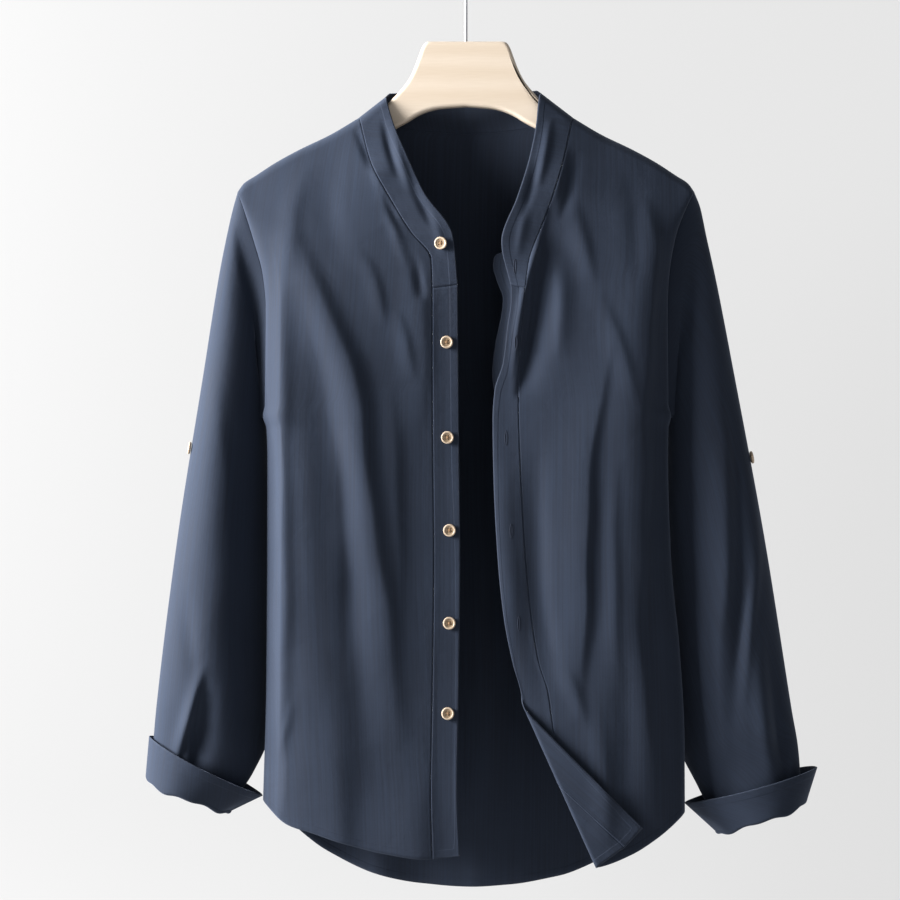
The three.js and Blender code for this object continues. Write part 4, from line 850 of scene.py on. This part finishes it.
def makeThread(name, colour):
    # twisted yarn: fine spots between its colour and a lighter one
    made, add, principled, link = newMaterial(name, Roughness=0.75, Specular_IOR_Level=0.2)
    twist = noise(add, add("TexCoord").outputs["Object"], 2500.0, 1.0)["Fac"]
    lighter = tuple(min(part * 1.9, 1) for part in colour[:3]) + (1,)
    link(blended(add, twist, colour, lighter), principled.inputs["Base Color"])
    bump = add("Bump", Height=twist, Strength=0.5, Distance=0.0001)
    link(bump.outputs[0], principled.inputs["Normal"])
    return made


linen = makeLinen()
paleWood = makeWood(
    "paleWood",
    {"Light": (0.56, 0.475, 0.385, 1), "Dark": (0.5, 0.41, 0.315, 1), "Bands": 14.0, "Stretch": 0.05},
    0.38, 0.3, 0.0004)
buttonWood = makeWood(
    "buttonWood",
    {"Light": (0.48, 0.385, 0.29, 1), "Dark": (0.37, 0.275, 0.19, 1), "Bands": 160.0, "Stretch": 0.3},
    0.42, 0.2, 0.0002, dish=(0.2, 0.125, 0.06, 1))
steel = makeSteel()
navyThread = makeThread("navyThread", (0.008, 0.011, 0.02, 1))
tanThread = makeThread("tanThread", (0.22, 0.13, 0.07, 1))
print("materials made")

# ---- the cloth
# rows and columns of the grids; a cuff has rows in its roll and above it
fine = {"back": (170, 190), "front": (210, 120), "sleeve": (150, 150), "collar": (26, 420),
        "placket": (260, 22), "cuff": (12, 32), "turned": (80, 40), "under": (90, 14)}


def spread(name, rows, columns):
    # evenly spread rows and columns between two numbers each, one more than the grid has faces
    return line(*rows, fine[name][0] + 1)[:, None], line(*columns, fine[name][1] + 1)[None]


def asCut(x, drop):
    # x and drop in the cut, in metres
    return np.stack([x, -drop], -1) / 1000


allRows, onBoard = (0, body["lastRow"]), ["hanger_board"]
backForm = onBack(*backPlaces(*spread("back", allRows, (1, -1))))
clothPiece("back", backForm, ["back_panel"], "TLR", "B", uv=uprightThreads(backForm))
rows, columns = spread("front", allRows, (0, 1))
leftForm = onFront(*frontPlaces(leftHalf, rows, columns[:, ::-1]))
clothPiece("frontWithButtons", leftForm, ["front_button_side"], "TLR", "B",
           uv=uprightThreads(leftForm))
rightForm = onFront(*frontPlaces(rightHalf, rows, columns))
clothPiece("frontWithButtonholes", rightForm, ["front_buttonhole_side"], "TR", "B",
           uv=uprightThreads(rightForm))
turnedCut = turnedPlaces(*spread("turned", (0, body["lastRow"] - turnBack["row"]), (1, 0)))
clothPiece("turnedCorner", laid(*turnedCut), [], "L", "B", uv=asCut(*turnedCut))
rows, columns = spread("placket", (body["collarRow"], body["lastRow"]), (0, 1))
leftPlacketForm = leftPlacketPlaces(rows, columns)
clothPiece("placketWithButtons", leftPlacketForm, ["placket_button_side"], "TL", "RB", wall=cloth["doubled"],
           uv=uprightThreads(leftPlacketForm))
placketCut = rightPlacketPlaces(rows, columns[:, ::-1])
placketForm = laid(*placketCut)
clothPiece("placketWithButtonholes", placketForm, ["placket_buttonhole_side"], "TR", "LB",
           wall=cloth["doubled"], uv=asCut(*placketCut))
underForm = underLayerPlaces(*spread("under", (0, 1), (0, 1)))
clothPiece("placketUnderLayer", underForm, ["placket_under_layer"], "", "L")
shares, stations = spread("collar", (0, 1), (0, collarBand["stations"][-1]))
collarForm = collarPlaces(stations, shares)[:, ::-1]
clothPiece("collarBand", collarForm, ["collar_band"], "BLR", "T", wall=cloth["doubled"])
sleeveForms, cuffForms = {}, {}
rings, turns = spread("sleeve", (0, sleeveForm["rings"]), (0, math.tau))
rolling, rising = line(0, 1, fine["cuff"][0] + 1), line(1, 2, fine["cuff"][1] + 1)
for name, sleeve, turns in (("left", leftSleeve, turns), ("right", rightSleeve, turns[:, ::-1])):
    sleeveForms[name] = sleevePlaces(sleeve, rings, turns)
    cuffForms[name] = cuffPlaces(sleeve, np.r_[rolling, rising[1:]][:, None], turns)
    clothPiece(name + "Sleeve", sleeveForms[name], ["sleeve_" + name], "T", "")
    clothPiece(name + "Cuff", cuffForms[name], ["cuff_" + name], "", "B")
print("cloth made")


# ---- stitches
def normalsOf(places):
    # outward directions of a grid: its downward steps crossed with its sideways steps
    down, right = np.gradient(places, axis=0), np.gradient(places, axis=1)
    normals = np.cross(down, right)
    return normals / np.maximum(np.linalg.norm(normals, axis=-1, keepdims=True), 1e-9)


def insetLine(places, side, inset, first, last):
    # the line that keeps an inset from one side of a grid, as places with directions, from share first to
    # share last
    both = np.concatenate([places, normalsOf(places)], -1)
    grid = {"T": both, "B": both[::-1], "L": both.swapaxes(0, 1), "R": both[:, ::-1].swapaxes(0, 1)}[side]
    count = grid.shape[1]
    grid = grid[:, int(first * (count - 1)):int(last * (count - 1)) + 1]
    steps = np.linalg.norm(np.diff(grid[..., :3], axis=0), axis=-1)
    away = np.concatenate([np.zeros((1, grid.shape[1])), steps.cumsum(0)])
    k = np.clip((away < inset).sum(0) - 1, 0, len(away) - 2)
    n = np.arange(grid.shape[1])
    t = (inset - away[k, n]) / np.maximum(away[k + 1, n] - away[k, n], 1e-6)
    return mix(grid[k, n], grid[k + 1, n], np.clip(t, 0, 1)[:, None])


stitch = {
    "pitch": 3.1, "length": 2.3, "radius": 0.2, "sink": 0.1, "sides": 6,
    "seam": 2.0, "edge": 2.5, "hem": 7.4, "cuff": 3.0,  # insets from the cloth's sides
    "armholeEnd": 0.4, "turnedFrom": 0.66,  # shares of the sides
}


def beads(name, runs, finish, look=stitch):
    # every stitch is a spindle along its line: rings of a few points whose radius swells and fades
    centres, alongs, ups = [], [], []
    for run, lift in runs:
        steps = np.r_[0, np.linalg.norm(np.diff(run[:, :3], axis=0), axis=1).cumsum()]
        stops = np.arange(look["pitch"], steps[-1] - look["pitch"], look["pitch"])
        at = np.stack([np.interp(stops, steps, run[:, k]) for k in range(6)], 1)
        ahead = np.stack([np.interp(stops + 0.4, steps, run[:, k]) for k in range(3)], 1)
        centres.append(at[:, :3] + at[:, 3:] * (lift - look["sink"]))
        alongs.append(ahead - at[:, :3])
        ups.append(at[:, 3:])
    centre, along, up = np.concatenate(centres), np.concatenate(alongs), np.concatenate(ups)
    along /= np.linalg.norm(along, axis=1, keepdims=True)
    side = np.cross(along, up)
    ring = line(-1, 1, 6)
    swell = np.sqrt(1 - ring**2 * 0.96) * look["radius"]
    angle = np.arange(look["sides"]) / look["sides"] * math.tau
    cross = side[:, None] * np.cos(angle)[None, :, None] + up[:, None] * np.sin(angle)[None, :, None]
    places = (centre[:, None, None] + along[:, None, None] * (ring * look["length"] / 2)[None, :, None, None]
              + cross[:, None] * swell[None, :, None, None])
    count, rings, sides = places.shape[:3]
    number = np.arange(rings * sides).reshape(rings, sides)
    turned = np.roll(number, -1, 1)
    quads = np.stack([number[:-1], turned[:-1], turned[1:], number[1:]], -1).reshape(-1, 4)
    quads = (quads[None] + (np.arange(count) * rings * sides)[:, None, None]).reshape(-1, 4)
    mesh = bpy.data.meshes.new(name)
    mesh.from_pydata((places / 1000).reshape(-1, 3).tolist(), [], quads.tolist())
    mesh.polygons.foreach_set("use_smooth", np.ones(len(quads), bool))
    dress(placed(name, mesh), finish)


single, doubled = cloth["single"] / 2, cloth["doubled"] / 2
seam, edge, hem, armhole = stitch["seam"], stitch["edge"], stitch["hem"], (0, stitch["armholeEnd"])
whole, turnedPart = (0, 1), (stitch["turnedFrom"], 1)
seamRuns = [(insetLine(form, side, inset, *shares), lift) for form, side, inset, lift, shares in (
    (leftPlacketForm, "L", seam, doubled, whole), (leftPlacketForm, "R", edge, doubled, whole),
    (placketForm, "R", seam, doubled, whole), (placketForm, "L", edge, doubled, whole),
    (placketForm, "R", seam, -doubled, turnedPart), (placketForm, "L", edge, -doubled, turnedPart),
    (collarForm, "T", edge, doubled, whole),
    (leftForm, "B", hem, single, whole), (rightForm, "B", hem, single, whole),
    (backForm, "B", hem, single, whole),
    (leftForm, "L", edge, single, armhole), (rightForm, "R", edge, single, armhole),
    (backForm, "L", edge, single, armhole), (backForm, "R", edge, single, armhole),
    (leftForm, "T", seam, single, whole), (rightForm, "T", seam, single, whole),
    (underForm, "L", seam, single, whole),
    (cuffForms["left"], "B", stitch["cuff"], single, whole),
    (cuffForms["right"], "B", stitch["cuff"], single, whole))]
beads("stitches", seamRuns, navyThread)
print("stitches made")

# ---- buttons and buttonholes
buttonLook = {
    "places": [(-23.5, 293), (-17.9, 384), (-17.9, 472), (-15.5, 557), (-15.5, 643), (-17.9, 727)],
    "sleeveDrops": {"left": 480, "right": 490},
    "profile": [(0, 0), (3.6, 0), (4.9, 0.15), (5.7, 0.8), (5.9, 1.5), (5.75, 2.2), (5.3, 2.6), (4.8, 2.68),
                (4.3, 2.5), (3.9, 2.15), (3.3, 2.0), (2.2, 1.92), (0.02, 1.88)],
    "faceFrom": 6,  # the profile's row from which it faces the viewer
    "dishRadius": 4.5, "dishRim": 0.9,
    "hole": 0.72, "holeRim": 0.12, "holeOffset": 1.25, "holeDepth": 1.5, "gap": 0.3,
    "thread": 0.3, "threadFoot": 1.3, "threadRise": 0.95, "crossing": 0.12,
}


def settle(form, x, drop):
    # the place of a grid nearest to x and drop, with its outward direction
    near = np.abs(form[..., 0] - x) + np.abs(form[..., 2] + drop)
    row, column = np.unravel_index(np.argmin(near), near.shape)
    return form[row, column], normalsOf(form)[row, column]


def turned(points, place, direction):
    # carries points from a frame whose Z is the direction and whose Y points upward
    side = np.cross([0, 0, 1], direction)
    side /= np.linalg.norm(side)
    up = np.cross(direction, side)
    return place + points[..., :1] * side + points[..., 1:2] * up + points[..., 2:] * direction


def angles(count):
    # even steps of one turn
    return np.arange(count)[None] / count * math.tau


def buttonPlaces():
    # a profile turned about the axis, with four holes sunk into its face; and how deep in the dish each point
    # lies
    step = np.r_[line(0, 8, 26), line(8, 12, 30)[1:]][:, None]
    rows = [(k,) + pair for k, pair in enumerate(buttonLook["profile"])]
    angle, facing = angles(96), step > buttonLook["faceFrom"]
    radius, height = reader(rows, 0, 1)(step), reader(rows, 0, 2)(step)
    x, y = radius * np.cos(angle), radius * np.sin(angle)
    offset, rim = buttonLook["holeOffset"], buttonLook["holeRim"]
    away = np.hypot(np.abs(x) - offset, np.abs(y) - offset)
    sunk = ease((buttonLook["hole"] + rim - away) / (2 * rim)) * facing
    places = np.stack([x, y, height - buttonLook["holeDepth"] * sunk], -1)
    dish = ease((buttonLook["dishRadius"] - radius) / buttonLook["dishRim"]) * facing
    return places, dish * (1 - 0.35 * sunk)


def threadPlaces(fromX, fromY, toX, toY):
    # one strand from hole to hole: an arch with round section
    t, angle = line(0, 1, 17)[:, None], angles(8)
    along = np.array([toX - fromX, toY - fromY]) / math.hypot(toX - fromX, toY - fromY)
    radius = buttonLook["thread"]
    rise = buttonLook["threadFoot"] + buttonLook["threadRise"] * np.sin(math.pi * t) ** 0.5
    x = mix(fromX, toX, t) - along[1] * radius * np.cos(angle)
    y = mix(fromY, toY, t) + along[0] * radius * np.cos(angle)
    return np.stack([x, y, rise + radius * np.sin(angle)], -1)


def makeButton(name, node, place, direction, wallHalf):
    places, dish = buttonPlaces()
    base = place + direction * (wallHalf + buttonLook["gap"])
    button = makeMesh(name, turned(places, base, direction), closed=True, values={"dish": dish})
    dress(button, buttonWood, [node])
    o = buttonLook["holeOffset"]
    strands = [threadPlaces(-o, -o, o, o), threadPlaces(-o, o, o, -o) + [0, 0, buttonLook["crossing"]]]
    for k, strand in enumerate(strands):
        thread = makeMesh(f"{name}Thread{k + 1}", turned(strand, base, direction), closed=True)
        dress(thread, tanThread)


for k, (x, drop) in enumerate(buttonLook["places"]):
    form = collarForm if k == 0 else leftPlacketForm
    makeButton(f"button{k + 1}", f"button_{k + 1}", *settle(form, x, drop), doubled)
for name, drop in buttonLook["sleeveDrops"].items():
    form = sleeveForms[name]
    outer = form[np.argmin(np.abs(form[:, 0, 2] + drop)), 0]
    makeButton(f"{name}SleeveButton", f"sleeve_button_{name}", *settle(form, outer[0], drop), single)

buttonhole = {
    "places": [(45, 312), (46, 384), (37, 472), (41, 557), (48, 643)],
    "halfWidth": 1.05, "halfLength": 6.6, "squareness": 0.06, "thread": 0.42, "ridges": 40, "ridge": 0.06,
    "flatness": 0.7,
}


def buttonholePlaces(form, x, drop):
    # a thread ring round a slit, on the cloth: a long loop with round section, thickened at every turn
    t, angle = line(0, math.tau, 49)[:-1, None], angles(8)
    x0 = buttonhole["halfWidth"] * np.cos(t)
    y0 = buttonhole["halfLength"] * np.sin(t) * (1 - buttonhole["squareness"] * np.cos(t) ** 2)
    radius = buttonhole["thread"] * (1 + buttonhole["ridge"] * np.sin(buttonhole["ridges"] * t))
    aside, up = radius * np.cos(angle), radius * np.sin(angle) * buttonhole["flatness"]
    places = np.stack([x0 + aside * np.cos(t), y0 + aside * np.sin(t), doubled + up], -1)
    return turned(np.concatenate([places, places[:1]]), *settle(form, x, drop))


for k, (x, drop) in enumerate(buttonhole["places"]):
    loop = buttonholePlaces(collarForm if k == 0 else placketForm, x, drop)
    dress(makeMesh(f"buttonhole{k + 1}", loop, closed=True), navyThread)
print("buttons and buttonholes made")

# ---- hanger and hook
hanger = {
    # distance from the middle, top and bottom drop of the board's outline
    "outline": [(0, 99.5, 160.5), (25, 99.5, 162.5), (37, 99.5, 165.5), (41, 104, 167.2), (46, 118, 169.5),
                (53, 134, 174), (63, 147, 179.5), (73, 157.5, 184.5), (80, 166, 188), (87, 172, 191),
                (94, 175.2, 194.5), (104, 178.2, 199.5), (116, 183.2, 205.5), (128, 189.5, 212),
                (142, 196.3, 218.5), (156, 203, 225), (168, 209.3, 231), (180, 216.2, 237), (191, 223.5, 242),
                (197, 229.5, 241)],
    "thickness": 13, "rounding": 3.5, "points": (181, 721), "softening": 4,
    "wire": 1.5, "crook": 18.5, "crookEnd": 3.65, "stemTop": 62, "stemFoot": 112, "bend": (20, 22),
}


def boardPlaces():
    # the outline, spread evenly, softened at its corners and drawn in by a quarter round towards both faces
    halfPoints, allPoints = hanger["points"]
    across = np.sin(line(-math.pi / 2, math.pi / 2, halfPoints)) * hanger["outline"][-1][0]
    top, bottom = (np.stack([across, -reader(hanger["outline"], 0, value)(np.abs(across))], -1)
                   for value in (1, 2))
    loop = np.concatenate([top, bottom[::-1]])
    steps = np.r_[0, np.linalg.norm(np.diff(np.r_[loop, loop[:1]], axis=0), axis=1).cumsum()]
    even = line(0, steps[-1], allPoints)[:-1]
    loop = np.stack([np.interp(even, steps, np.r_[loop[:, k], loop[:1, k]]) for k in (0, 1)], -1)
    for _ in range(hanger["softening"]):
        loop = (np.roll(loop, 1, 0) + 2 * loop + np.roll(loop, -1, 0)) / 4
    along = np.roll(loop, -1, 0) - np.roll(loop, 1, 0)
    inward = np.stack([along[:, 1], -along[:, 0]], -1) / np.linalg.norm(along, axis=1)[:, None]
    turn = line(0, math.pi / 2, 9)
    radius, half = hanger["rounding"], hanger["thickness"] / 2
    inset = radius * (1 - np.sin(turn))
    depth = half - radius + radius * np.cos(turn)
    inset, depth = np.r_[inset, inset[::-1]], np.r_[-depth, depth[::-1]]
    flat = loop[None] + inward[None] * inset[:, None, None]
    return np.stack([flat[..., 0], np.broadcast_to(depth[:, None], flat.shape[:2]), flat[..., 1]], -1)


boardForm = boardPlaces()
dress(makeMesh("hangerBoard", boardForm, closed=True), paleWood, ["hanger_board"])
for name, rim in (("hangerFront", boardForm[0]), ("hangerBack", boardForm[-1])):
    # strips across the board, from each point of its rim to the one as far from its left tip the other way
    reach = len(rim) // 2 + 1
    strips = np.stack([rim[:reach], np.roll(rim[::-1], 1, 0)[:reach]], 1)
    dress(makeMesh(name, strips), paleWood)


def wirePlaces():
    # the hook's middle line (stem, bend, crook) with a round section and a rounded end
    radius, crook = hanger["wire"], hanger["crook"]
    centre = crook - radius
    stem = np.stack([np.zeros(12), -line(hanger["stemFoot"], hanger["stemTop"], 12)], -1)
    t = line(0, 1, 40)[1:-1, None]
    (up, down), foot = hanger["bend"], -hanger["stemTop"]
    a, b, c, d = np.array([(0, foot), (0, foot + up), (crook, -centre - down), (crook, -centre)])
    bend = (1 - t) ** 3 * a + 3 * (1 - t) ** 2 * t * b + 3 * (1 - t) * t**2 * c + t**3 * d
    angle = line(0, hanger["crookEnd"], 90)
    arc = np.stack([crook * np.cos(angle), crook * np.sin(angle) - centre], -1)
    path = np.concatenate([stem, bend, arc])
    along = np.gradient(path, axis=0)
    along /= np.linalg.norm(along, axis=1, keepdims=True)
    cap = line(0, math.pi / 2, 8)[1:]
    ends = path[-1] + along[-1] * radius * np.sin(cap)[:, None]
    width = np.r_[np.full(len(path), radius), radius * np.maximum(np.cos(cap), 0.01)]
    path, along = np.concatenate([path, ends]), np.concatenate([along, np.repeat(along[-1:], len(cap), 0)])
    turn = angles(20)
    x = path[:, :1] + width[:, None] * np.cos(turn) * along[:, 1:]
    z = path[:, 1:] - width[:, None] * np.cos(turn) * along[:, :1]
    return np.stack([x, width[:, None] * np.sin(turn), z], -1)


dress(makeMesh("hangerHook", wirePlaces(), closed=True), steel, ["hanger_hook"])
print("hanger and hook made")


# ---- stage, light and camera
room = {
    "wall": 0.3, "floor": -1.35, "half": 6.0, "top": 4.0, "front": -5.0, "radius": 0.5,
    "paper": 0.06, "glow": 0.67, "sky": 0.06,
}
lamps = {  # place, target, size and power
    "window": ((-3.0, -1.15, 0.5), (0, 0, -0.5), 1.4, 235),
    "side": ((-2.0, -0.32, 0.05), (-0.2, 0, -0.5), 0.9, 165),
    "fill": ((0.9, -3.2, 0.4), (0, 0, -0.5), 2.5, 14),
}


def makeBackdrop():
    # a pale wall that curves into a floor: a profile of straight, quarter round and straight, swept along X
    turn, radius = line(0, math.pi / 2, 13), room["radius"]
    y = np.r_[room["wall"], room["wall"] - radius * (1 - np.cos(turn)), room["front"]]
    z = np.r_[room["top"], room["floor"] + radius - radius * np.sin(turn), room["floor"]]
    x = line(-room["half"], room["half"], 3)
    places = np.stack(np.broadcast_arrays(x[None], y[:, None], z[:, None]), -1) * 1000
    return makeMesh("backdrop", places)


backdrop = makeBackdrop()
paper, _, principled, _ = newMaterial("palePaper", Roughness=0.9)
principled.inputs["Base Color"].default_value = (room["paper"], room["paper"], room["paper"], 1)
principled.inputs["Emission Color"].default_value = (1, 1, 1, 1)
principled.inputs["Emission Strength"].default_value = room["glow"]
backdrop.data.materials.append(paper)


def addLamp(name, place, target, size, power):
    light = bpy.data.lights.new(name, "AREA")
    light.shape, light.size, light.energy = "SQUARE", size, power
    lamp = placed(name, light)
    lamp.location = place
    x, y, z = np.array(place) - np.array(target)
    lamp.rotation_euler = (math.atan2(math.hypot(x, y), z), 0, math.atan2(x, -y))


for name, settings in lamps.items():
    addLamp(name, *settings)
world = bpy.data.worlds.new("room")
bpy.context.scene.world = world
world.use_nodes = True
background = world.node_tree.nodes["Background"]
background.inputs["Color"].default_value = (1, 1, 1, 1)
background.inputs["Strength"].default_value = room["sky"]
bpy.context.scene.view_settings.view_transform = "Standard"

view = {"place": (-0.015, -2.4, -0.483), "sensor": 36, "lens": 102.13, "farthest": 30}
camera = bpy.data.cameras.new("camera")
camera.sensor_width, camera.lens, camera.clip_end = view["sensor"], view["lens"], view["farthest"]
cameraObject = placed("camera", camera)
cameraObject.location = view["place"]
cameraObject.rotation_euler = (math.pi / 2, 0, 0)
bpy.context.scene.camera = cameraObject
print("stage, light and camera made")
